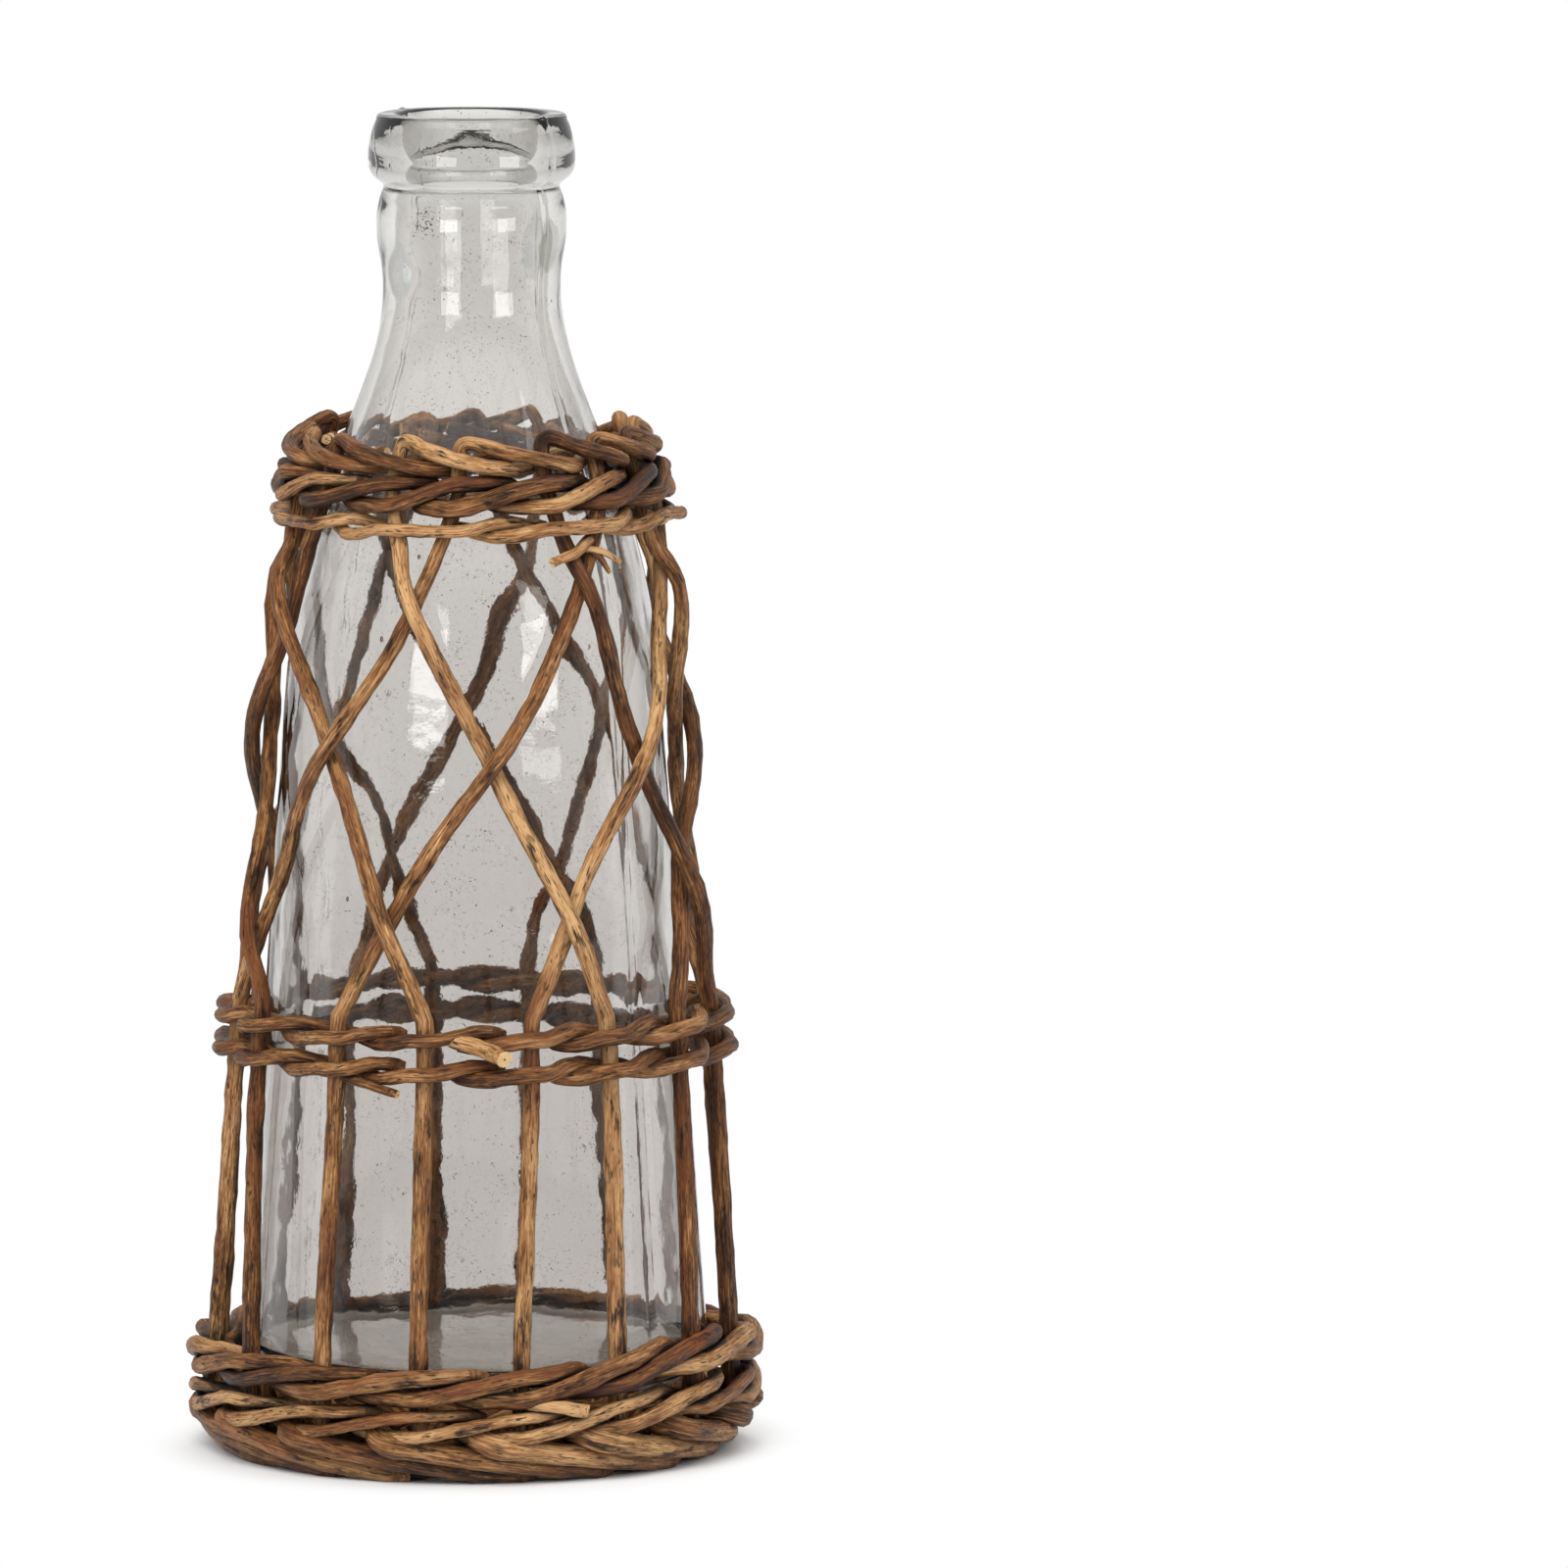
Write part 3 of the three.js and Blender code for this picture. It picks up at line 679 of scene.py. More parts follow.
@dataclass
class BottleForm:
    """Sizes of the bottle in millimetres, with heights above its own foot."""

    foot_z: float
    height: float
    base_radius: float = 63.1
    heel_round: float = 8.0
    standing_ring: float = 8.0
    punt: float = 2.5
    shoulder_radius: float = 50.2
    shoulder_height: float = 188.0
    shoulder_reach: float = 58.0
    neck_radius: float = 23.8
    neck_height: float = 294.0
    neck_reach: float = 28.0
    ring_radius: float = 25.5
    ring_height: float = 312.0
    pinch_radius: float = 23.6
    pinch_height: float = 321.0
    lip_radius: float = 27.8
    lip_height: float = 328.0
    lip_under: float = 2.0
    rim_radius: float = 25.6
    rim_round: float = 1.6
    mouth_radius: float = 19.7
    throat_radius: float = 17.6
    throat_height: float = 327.0
    throat_opening: float = 10.0
    wall: float = 3.4
    floor_thickness: float = 8.6
    inner_heel_round: float = 2.5
    punt_half: Ends = (0.5, 0.75)
    ring_rise: float = 0.3
    ring_corner: float = 0.7
    throat_lean: float = 0.3
    throat_round: float = 3.0
    wall_parts: int = 40
    shoulder_parts: int = 64
    neck_parts: int = 20
    wall_line: list[Vector] = field(default_factory=list)

    def __post_init__(self) -> None:
        """Keeps the outer wall's line, for its radius at a height."""
        self.wall_line = [p for p in self.outer() if p.z > 0.0 and p.x > self.mouth_radius]

    @classmethod
    def from_frame(cls) -> "BottleForm":
        """Takes the bottle's place and height from the frame."""
        low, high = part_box("glass_bottle")
        return cls(foot_z=low[2] / MM, height=(high[2] - low[2]) / MM)

    @staticmethod
    def at(radius: float, height: float) -> Vector:
        """Point of the profile, in the plane of X and Z."""
        return Vector((radius, 0.0, height))

    def cone(self) -> Vector:
        """Direction of the body's straight wall, in radius and height."""
        lean = self.shoulder_radius - self.base_radius
        return self.at(lean, self.shoulder_height - self.heel_round).normalized()

    def bend(self, start: Vector, corner: Vector, end: Vector, parts: int) -> list[Vector]:
        """Rounds a corner of the profile.

        Args:
            start: Where the round begins.
            corner: The corner that is rounded.
            end: Where the round ends.
            parts: Parts that it is drawn in.

        Returns:
            The points after start, up to end.
        """
        first = start.lerp(corner, 2.0 / 3.0)
        second = end.lerp(corner, 2.0 / 3.0)
        return geometry.interpolate_bezier(start, first, second, end, parts + 1)[1:]

    def straight(self, start: Vector, end: Vector, parts: int) -> list[Vector]:
        """Points after start, up to end, on a straight part of the profile."""
        return [start.lerp(end, k / parts) for k in range(1, parts + 1)]

    def outer(self) -> list[Vector]:
        """Profile of the outer wall.

        Returns:
            Points from the axis under the foot to the rim.
        """
        at = self.at
        ring = self.base_radius - self.heel_round
        line = [
            at(0.0, self.punt),
            at(self.punt_half[0] * ring, self.punt_half[1] * self.punt),
            at(ring - self.standing_ring, self.ring_rise),
        ]
        corner = at(ring - self.ring_corner * self.standing_ring, 0.0)
        line += self.bend(line[-1], corner, at(ring, 0.0), parts=4)
        foot = at(self.base_radius, self.heel_round)
        line += self.bend(line[-1], at(self.base_radius, 0.0), foot, parts=10)
        foot, shoulder = line[-1], at(self.shoulder_radius, self.shoulder_height)
        line += self.straight(foot, shoulder, self.wall_parts)
        neck = at(self.neck_radius, self.neck_height)
        leaving = shoulder + self.cone() * self.shoulder_reach
        coming = neck - at(0.0, self.neck_reach)
        line += geometry.interpolate_bezier(shoulder, leaving, coming, neck, self.shoulder_parts + 1)[1:]
        ring_top = at(self.ring_radius, self.ring_height)
        half = at(0.0, (self.ring_height - self.neck_height) / 2.0)
        line += geometry.interpolate_bezier(neck, neck + half, ring_top - half, ring_top, 10)[1:]
        pinch = at(self.pinch_radius, self.pinch_height)
        above_ring = at(self.ring_radius, (self.ring_height + self.pinch_height) / 2.0)
        line += self.bend(ring_top, above_ring, pinch, parts=7)
        lip = at(self.lip_radius, self.lip_height)
        leaving = pinch + at(0.0, self.lip_under)
        coming = at(self.lip_radius, self.pinch_height + self.lip_under)
        line += geometry.interpolate_bezier(pinch, leaving, coming, lip, 12)[1:]
        edge = at(self.rim_radius, self.height - self.rim_round)
        line += self.bend(lip, at(self.lip_radius, (self.lip_height + self.height) / 2.0), edge, parts=8)
        rim = at(self.rim_radius - self.rim_round, self.height)
        return line + self.bend(edge, at(self.rim_radius, self.height), rim, parts=4)

    def inner(self) -> list[Vector]:
        """Profile of the inner wall.

        Returns:
            Points from the rim down to the axis on the floor.
        """
        at = self.at
        rim = at(self.mouth_radius + self.rim_round, self.height)
        mouth = at(self.mouth_radius, self.height - self.rim_round)
        line = [rim, *self.bend(rim, at(self.mouth_radius, self.height), mouth, parts=4)]
        throat = at(self.throat_radius, self.throat_height)
        funnel = at(self.mouth_radius - self.throat_lean, self.throat_height + self.throat_round)
        line += self.bend(line[-1], funnel, throat, parts=6)
        opened = at(self.neck_radius - self.wall, self.throat_height - self.throat_opening)
        below = at(self.throat_radius, self.throat_height - self.throat_round)
        line += self.bend(throat, below, opened, parts=8)
        neck = at(self.neck_radius - self.wall, self.neck_height)
        line += self.straight(opened, neck, self.neck_parts)
        shoulder = at(self.shoulder_radius - self.wall, self.shoulder_height)
        leaving = neck - at(0.0, self.neck_reach)
        coming = shoulder + self.cone() * self.shoulder_reach
        line += geometry.interpolate_bezier(neck, leaving, coming, shoulder, self.shoulder_parts + 1)[1:]
        base = self.base_radius - self.wall
        heel = at(base, self.floor_thickness + self.inner_heel_round)
        line += self.straight(shoulder, heel, self.wall_parts)
        floor = at(base - self.inner_heel_round, self.floor_thickness)
        line += self.bend(heel, at(base, self.floor_thickness), floor, parts=10)
        return line + self.straight(floor, at(0.0, self.floor_thickness + self.punt), parts=8)

    def radius_at(self, z: float) -> float:
        """Outside radius of the bottle.

        Args:
            z: Height above the ground.

        Returns:
            The radius at that height.
        """
        height = z - self.foot_z
        line = self.wall_line
        for low, high in zip(line, line[1:]):
            if low.z <= height <= high.z:
                return mix(low.x, high.x, (height - low.z) / max(high.z - low.z, 1e-9))
        return line[0].x if height < line[0].z else line[-1].x


@dataclass
class GlassBottle:
    """The bottle: a turned wall, uneven from its mould, with a seam on two sides and a few bubbles."""

    form: BottleForm
    glass: BottleGlass
    lit_floor_glass: BottleGlass
    turns: int = 168
    uneven_mm: float = 0.36
    uneven_grain_mm: float = 34.0
    seam_mm: float = 0.4
    seam_skin_mm: float = 1.2
    seam_from_mm: float = 12.0
    thick_spots: tuple[tuple[float, float, float, float], ...] = (
        (-58.0, 318.0, 8.0, 0.9), (50.0, 326.0, 8.0, 0.8),
        (-20.0, 296.0, 11.0, 0.35), (15.0, 228.0, 14.0, 0.5),
        (-40.0, 172.0, 16.0, 0.6), (28.0, 150.0, 14.0, 0.5),
        (-12.0, 70.0, 15.0, 0.15), (160.0, 200.0, 18.0, 0.6),
    )
    bubble_count: int = 26
    bubble_mm: float = 0.9
    bubble_heights: Ends = (20.0, 300.0)
    bubble_sizes: Ends = (0.5, 1.2)
    bubble_stretch: Ends = (1.0, 2.2)
    # Where the pale glass lies on the inner floor: painted light, standing in for light seen through the
    # floor.
    haze_past_mm: float = 2.0
    haze_under_mm: float = 1.0
    haze_over_mm: float = 1.5
    haze_upright: float = 0.7

    def build(self) -> bpy.types.Object:
        """Models the bottle.

        Returns:
            The bottle's object.
        """
        profile = self.form.outer() + self.form.inner()
        raised = [point + Vector((0.0, 0.0, self.form.foot_z)) for point in profile]
        obj = polyline_mesh("bottle", raised)
        lathe = obj.modifiers.new("lathe", "SCREW")
        lathe.steps = lathe.render_steps = self.turns
        lathe.use_merge_vertices = True
        lathe.merge_threshold = MERGE_M
        select_only(obj)
        bpy.ops.object.modifier_apply(modifier="lathe")
        merge_doubles(obj)
        displace(obj, self.uneven_grain_mm, self.uneven_mm)
        self.raise_seam(obj)
        self.thicken(obj)
        self.add_bubbles(obj)
        select_only(obj)
        bpy.ops.object.shade_smooth()
        return obj

    def raise_seam(self, obj: bpy.types.Object) -> None:
        """Raises the mould seam, a thin ridge up both sides of the outer wall.

        Args:
            obj: The turned bottle.
        """
        form = self.form
        step = math.radians(360.0 / self.turns)
        seam = math.radians(self.glass.seam_deg)
        bpy.ops.object.mode_set(mode="EDIT")
        bpy.ops.mesh.select_all(action="DESELECT")
        bpy.ops.object.mode_set(mode="OBJECT")
        for vertex in obj.data.vertices:
            radius = math.hypot(vertex.co.x, vertex.co.y)
            turn = math.atan2(vertex.co.x, -vertex.co.y) - seam
            off = abs((turn + math.pi / 2.0) % math.pi - math.pi / 2.0)
            outside = radius > form.radius_at(vertex.co.z / MM) * MM - self.seam_skin_mm * MM
            above = vertex.co.z > (form.foot_z + self.seam_from_mm) * MM
            vertex.select = off < 0.5 * step and outside and above
        bpy.ops.object.mode_set(mode="EDIT")
        bpy.ops.transform.shrink_fatten(value=self.seam_mm * MM)
        bpy.ops.object.mode_set(mode="OBJECT")

    def thicken(self, obj: bpy.types.Object) -> None:
        """Thickens the inner wall in spots, as the mould left it, so that they show as faint lenses.

        Args:
            obj: The turned bottle.
        """
        form = self.form
        spots = [
            (around(degrees, form.radius_at(z) - form.wall, z) * MM, reach * MM, depth * MM)
            for degrees, z, reach, depth in self.thick_spots
        ]
        for vertex in obj.data.vertices:
            flat = Vector((vertex.co.x, vertex.co.y, 0.0))
            if flat.length > (form.radius_at(vertex.co.z / MM) - 0.5 * form.wall) * MM:
                continue
            for spot, reach, depth in spots:
                share = ease(1.0 - (vertex.co - spot).length / reach)
                vertex.co -= flat.normalized() * (depth * share)

    def add_bubbles(self, obj: bpy.types.Object) -> None:
        """Closes small drawn-out air bubbles into the wall.

        Args:
            obj: The bottle, which takes the bubbles in.
        """
        chance = random.Random(SEED)
        bubbles = []
        for _ in range(self.bubble_count):
            z = self.form.foot_z + chance.uniform(*self.bubble_heights)
            radius = self.form.radius_at(z) - 0.5 * self.form.wall
            bpy.ops.mesh.primitive_ico_sphere_add(subdivisions=2, radius=0.5 * MM)
            bubbles.append(bpy.context.object)
            size = self.bubble_mm * chance.uniform(*self.bubble_sizes)
            bpy.ops.transform.resize(value=(size, size, size * chance.uniform(*self.bubble_stretch)))
            bpy.ops.transform.translate(value=around(chance.uniform(-180.0, 180.0), radius, z) * MM)
            bpy.ops.object.transform_apply(location=True, rotation=True, scale=True)
            bpy.ops.object.mode_set(mode="EDIT")
            bpy.ops.mesh.select_all(action="SELECT")
            bpy.ops.mesh.flip_normals()
            bpy.ops.object.mode_set(mode="OBJECT")
        join(obj.name, obj, *bubbles)

    def dress(self, obj: bpy.types.Object) -> None:
        """Gives the bottle its glass, hazy and pale on the floor inside as painted light, and its place in
        the frame.

        Args:
            obj: The bottle.
        """
        obj.data.materials.clear()
        obj.data.materials.append(self.glass.material())
        obj.data.materials.append(self.lit_floor_glass.material())
        form = self.form
        reach = form.base_radius - form.wall - form.inner_heel_round + self.haze_past_mm
        floor_z = form.foot_z + form.floor_thickness
        low, high = floor_z - self.haze_under_mm, floor_z + form.punt + self.haze_over_mm
        # Faces of the inner floor take the pale glass, which paints light there.
        for face in obj.data.polygons:
            flat = math.hypot(face.center.x, face.center.y) < reach * MM
            inside = low * MM < face.center.z < high * MM
            face.material_index = 1 if flat and inside and face.normal.z > self.haze_upright else 0
        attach(obj, Body.BOTTLE.value)
        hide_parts("glass_bottle")


@dataclass
class Wander:
    """Slow seeded unevenness along a rod, between -1 and 1."""

    chance: random.Random
    count: int = 3
    lengths_mm: Ends = (15.0, 50.0)
    waves: list[tuple[float, float]] = field(default_factory=list)

    def __post_init__(self) -> None:
        """Draws the waves."""
        for _ in range(self.count):
            length = self.chance.uniform(*self.lengths_mm)
            self.waves.append((length, self.chance.uniform(0.0, 2.0 * math.pi)))

    def at(self, run: float) -> float:
        """Unevenness at a length along the rod."""
        swings = (math.sin(2.0 * math.pi * run / length + start) for length, start in self.waves)
        return sum(swings) / self.count


@dataclass
class Kinks:
    """Straight stretches between the small bends of a grown rod: how far it lies off course, from -1 to 1."""

    chance: random.Random
    stretch_mm: float
    length: float
    places: list[tuple[float, float]] = field(default_factory=list)

    def __post_init__(self) -> None:
        """Draws the places of the bends."""
        run = -self.stretch_mm * self.chance.random()
        self.places.append((run, self.chance.uniform(-1.0, 1.0)))
        while run < self.length:
            run += self.stretch_mm * self.chance.uniform(*UNEVEN)
            self.places.append((run, self.chance.uniform(-1.0, 1.0)))

    def at(self, run: float) -> float:
        """Finds how far the rod lies off course.

        Args:
            run: Length along the rod.

        Returns:
            Its distance off course there.
        """
        for (low, low_off), (high, high_off) in zip(self.places, self.places[1:]):
            if run <= high:
                return mix(low_off, high_off, (run - low) / (high - low))
        return self.places[-1][1]


@dataclass
class Rod:
    """One willow rod: its centre line, its thickness and how its bark looks.

    Tone lightens or darkens the bark, peel gives the share of bare wood and grime the share of dark bark at a
    point of the rod. A rod set for light painted shade gets less painted shade from ambient occlusion in its
    crevices.
    """

    name: str
    line: list[Vector]
    butt: float
    tip: float
    tone: float = 0.0
    grime: Mark = nowhere
    peel: Mark = nowhere
    side_sway: float = 0.4
    out_sway: float = 0.3
    rise_sway: float = 0.25
    kink_every: float = 20.0
    knot_every: float = 42.0
    rounded_ends: bool = True
    # Set for less painted shade in the crevices, from the second bark.
    clean: bool = False


@dataclass
class RodMaker:
    """Turns centre lines into willow rods, uneven as grown ones are."""

    bark: bpy.types.Material
    # Bark with less painted shade in its crevices.
    light_shade_bark: bpy.types.Material
    cut: bpy.types.Material
    chance: random.Random
    sides: int = 12
    lump_mm: float = 0.75
    lump_grain_mm: float = 4.0
    knot_mm: float = 2.0
    knot_rise: Ends = (0.05, 0.13)
    swell: float = 0.06
    end_round: float = 0.3
    end_size: float = 0.72
    crease_deg: float = 50.0
    grain_apart_mm: float = 997.0
    made: int = 0

    def sway(self, rod: Rod) -> list[Vector]:
        """Moves a rod's centre line a little off its even course.

        Args:
            rod: The rod.

        Returns:
            Its uneven centre line. It only ever moves away from the bottle.
        """
        length = sum((high - low).length for low, high in zip(rod.line, rod.line[1:]))
        side, out, rise = (Kinks(self.chance, rod.kink_every, length) for _ in range(3))
        line = []
        run = 0.0
        for k, point in enumerate(rod.line):
            run += (point - rod.line[max(k - 1, 0)]).length
            outward = Vector((point.x, point.y, 0.0)).normalized()
            across = Vector((-outward.y, outward.x, 0.0))
            moved = point + across * (rod.side_sway * side.at(run))
            moved += outward * (rod.out_sway * (0.5 + 0.5 * out.at(run)))
            moved.z += rod.rise_sway * rise.at(run)
            line.append(moved)
        return line

    def thickness(self, rod: Rod, line: Sequence[Vector]) -> list[float]:
        """Diameter at each point: an even taper, with knots where buds grew and ends that round off.

        Args:
            rod: The rod.
            line: Its centre line.

        Returns:
            The diameters in millimetres.
        """
        runs = [0.0]
        for low, high in zip(line, line[1:]):
            runs.append(runs[-1] + (high - low).length)
        length = runs[-1]
        knots = []
        place = self.chance.uniform(0.2, 1.0) * rod.knot_every
        while place < length:
            knots.append((place, self.chance.uniform(*self.knot_rise)))
            place += rod.knot_every * self.chance.uniform(*UNEVEN)
        swell = Wander(self.chance)
        sizes = []
        for run in runs:
            size = mix(rod.butt, rod.tip, run / length) * (1.0 + self.swell * swell.at(run))
            size *= 1.0 + sum(high * math.exp(-(((run - at) / self.knot_mm) ** 2)) for at, high in knots)
            if rod.rounded_ends:
                near = min(run, length - run) / (self.end_round * size)
                size *= mix(self.end_size, 1.0, ease(near))
            sizes.append(size)
        return sizes

    def mark(self, obj: bpy.types.Object, rod: Rod, rings: int) -> None:
        """Writes each vertex's place in the straightened rod, and its look, for the bark to follow.

        Args:
            obj: The rod's new mesh.
            rod: The rod.
            rings: How many rings of vertices the rod has.
        """
        mesh = obj.data
        grain = mesh.attributes.new("grain", "FLOAT_VECTOR", "POINT")
        look = mesh.attributes.new("look", "FLOAT_VECTOR", "POINT")
        start = self.grain_apart_mm * self.made
        run = 0.0
        before = None
        ends: list[tuple[Vector, float, Vector]] = []
        for ring in range(rings):
            members = range(ring * self.sides, (ring + 1) * self.sides)
            middle = sum((mesh.vertices[k].co for k in members), Vector()) / self.sides / MM
            run += (middle - before).length if before is not None else 0.0
            before = middle
            shade = Vector((rod.tone, rod.peel(middle), rod.grime(middle)))
            if ring in (0, rings - 1):
                ends.append((middle, start + run, shade))
            for turn, k in enumerate(members):
                angle = 2.0 * math.pi * turn / self.sides
                radius = (mesh.vertices[k].co / MM - middle).length
                grain.data[k].vector = (start + run, radius * math.cos(angle), radius * math.sin(angle))
                look.data[k].vector = shade
        for k in range(rings * self.sides, len(mesh.vertices)):
            spot = mesh.vertices[k].co / MM
            middle, place, shade = min(ends, key=lambda end: (end[0] - spot).length)
            away = spot - middle
            grain.data[k].vector = (place, away.x + away.y, away.z)
            look.data[k].vector = shade

    def make(self, rod: Rod) -> bpy.types.Object:
        """Models one rod.

        Args:
            rod: The rod.

        Returns:
            The rod's object, with bark on its side and cut wood on its ends.
        """
        line = self.sway(rod)
        obj = polyline_mesh(rod.name, line, self.thickness(rod, line), self.sides)
        self.made += 1
        self.mark(obj, rod, len(line))
        obj.data.materials.clear()
        obj.data.materials.append(self.light_shade_bark if rod.clean else self.bark)
        obj.data.materials.append(self.cut)
        for face in obj.data.polygons:
            face.material_index = 1 if len(face.vertices) == 3 else 0
        merge_doubles(obj)
        displace(obj, self.lump_grain_mm, self.lump_mm)
        bpy.ops.object.shade_smooth_by_angle(angle=math.radians(self.crease_deg))
        return obj

    def place(self, obj: bpy.types.Object, slot: Slot, *nodes: str) -> None:
        """Sets a finished rod in the cage.

        Args:
            obj: The rod.
            slot: The record's slot that its finish comes from; not used.
            nodes: The nodes that it stands for.
        """
        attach(obj, Body.CAGE.value)
        if nodes:
            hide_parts(*nodes)
        LOG.info("%s on %s", obj.name, Body.CAGE.value)


@dataclass
class CageForm:
    """Course of the cage round the bottle: where each stake stands at each height."""

    bottle: BottleForm
    stake_count: int = 16
    stake_d: float = 4.4
    first_stake_deg: float = -11.25
    rod_gap: float = 0.35
    foot_air: float = 5.2
    mid_air: float = 5.4
    hug_air: float = 0.8
    top_air: float = 6.2
    hug_from_z: float = 168.0
    hug_to_z: float = 212.0
    crossings: int = 3
    top_twist_deg: float = 8.0
    upright_ends: float = 0.035
    crossing_reach: float = 36.0
    mid_drift: tuple[int, ...] = (1, 4, 1, 3, 4, 2, -1, 2, -2, 0, 1, -2, 1, 1, -4, 1)
    top_drift: tuple[int, ...] = (-5, 5, 0, 2, 6, 0, 5, -2, 2, -3, 0, -5, -2, 0, -3, 6)
    border_arch: float = 1.35
    halvings: int = 30
    mid_z: float = 0.0
    lattice_from_z: float = 0.0
    lattice_to_z: float = 0.0
    top_band_z: float = 0.0
    border_z: float = 0.0
    crossing_places: dict[tuple[int, int], float] = field(default_factory=dict)

    def __post_init__(self) -> None:
        """Takes the heights of the woven rows from the frame, and finds where the stakes cross."""
        lower, upper = row_height("mid_band_lower_rod_1"), row_height("mid_band_upper_rod_1")
        self.mid_z = (lower + upper) / 2.0
        self.lattice_from_z = self.mid_z + (upper - lower)
        self.lattice_to_z = row_height("top_wale_rod_1")
        self.top_band_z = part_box("top_fitch_rod_1")[0][2] / MM
        wale_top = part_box("top_wale_rod_1")[1][2] / MM
        self.border_z = wale_top + self.rod_gap + self.stake_d / 2.0
        for stake in range(self.stake_count):
            for n in range(self.crossings):
                self.crossing_places[(stake, n)] = self.find_crossing(stake, n)

    @property
    def pitch(self) -> float:
        """Angle from one stake to the next."""
        return 360.0 / self.stake_count

    @property
    def border_apex_z(self) -> float:
        """Height of the centre line at the top of the border."""
        return self.border_z + self.border_arch * self.stake_d

    def leans_right(self, stake: int) -> bool:
        """Odd stakes swing to the right over the lattice, even ones to the left."""
        return stake % 2 == 1

    def radius(self, z: float) -> float:
        """Radius of the stakes' centre lines.

        Args:
            z: Height above the ground.

        Returns:
            The radius at that height.
        """
        stations = (
            (self.bottle.foot_z, self.foot_air),
            (self.mid_z, self.mid_air),
            (self.hug_from_z, self.hug_air),
            (self.hug_to_z, self.hug_air),
            (self.border_apex_z, self.top_air),
        )
        air = self.foot_air if z < stations[0][0] else self.top_air
        for (low, low_air), (high, high_air) in zip(stations, stations[1:]):
            if low <= z < high:
                air = mix(low_air, high_air, ease((z - low) / (high - low)))
        lowest = self.bottle.foot_z + self.bottle.heel_round
        return self.bottle.radius_at(max(z, lowest)) + air + self.stake_d / 2.0

    def angle(self, stake: int, z: float) -> float:
        """Angle of a stake.

        Args:
            stake: Its number, from 0, which may run past the count.
            z: Height above the ground.

        Returns:
            The angle at that height, which may run past a turn.
        """
        swing = (1 if self.leans_right(stake) else -1) * self.crossings * self.pitch + self.top_twist_deg
        u = min(max((z - self.lattice_from_z) / (self.lattice_to_z - self.lattice_from_z), 0.0), 1.0)
        share = u - self.upright_ends * math.sin(2.0 * math.pi * u)
        foot = self.bottle.foot_z
        rise = ease((z - foot) / (self.lattice_from_z - foot))
        drift = mix(
            rise * self.mid_drift[stake % self.stake_count], self.top_drift[stake % self.stake_count], share
        )
        return self.first_stake_deg + stake * self.pitch + swing * share + drift

    def find_crossing(self, stake: int, n: int) -> float:
        """Finds where a stake crosses another, by halving the lattice again and again.

        Args:
            stake: Number of the stake.
            n: Number of the crossing, from 0 at the bottom.

        Returns:
            The height of the crossing.
        """
        way = 1 if self.leans_right(stake) else -1
        other = stake + way * (2 * n + 1)
        low, high = self.lattice_from_z, self.lattice_to_z
        for _ in range(self.halvings):
            middle = (low + high) / 2.0
            if (self.angle(other, middle) - self.angle(stake, middle)) * way > 0.0:
                low = middle
            else:
                high = middle
        return low

    def lift(self, stake: int, z: float) -> float:
        """How far a stake stands off the bottle where it rides over another.

        Args:
            stake: Number of the stake.
            z: Height above the ground.

        Returns:
            The distance at that height.
        """
        lift = 0.0
        for n in range(self.crossings):
            crossing = self.crossing_places[(stake, n)]
            room = crossing - self.lattice_from_z if z < crossing else self.top_band_z - crossing
            away = abs(z - crossing) / min(self.crossing_reach, room)
            if self.leans_right(stake) == (n % 2 == 1) and away < 1.0:
                lift += (self.stake_d + 2.0 * self.rod_gap) * math.cos(away * math.pi / 2.0) ** 2
        return lift

    def top_stake(self, place: int) -> int:
        """Stake that stands at a place in the ring at the top."""
        return place + self.crossings - 1 if place % 2 == 0 else place - self.crossings - 1

    def top_place(self, stake: int) -> int:
        """Place in the ring at the top that a stake reaches."""
        return stake + self.crossings + 1 if self.leans_right(stake) else stake - self.crossings + 1

    def top_angle(self, place: int, z: float) -> float:
        """Angle of the stake at a place in the ring at the top."""
        return self.angle(self.top_stake(place), z)

    def pair_angle(self, pair: int, z: float) -> float:
        """Angle of the middle of two stakes that the row under the top wale holds together."""
        return (self.top_angle(2 * pair, z) + self.top_angle(2 * pair + 1, z)) / 2.0

    def between(self, post: PostAngle, x: float, z: float) -> float:
        """Angle at a fractional place among posts."""
        n = math.floor(x)
        return mix(post(n, z), post(n + 1, z), x - n)


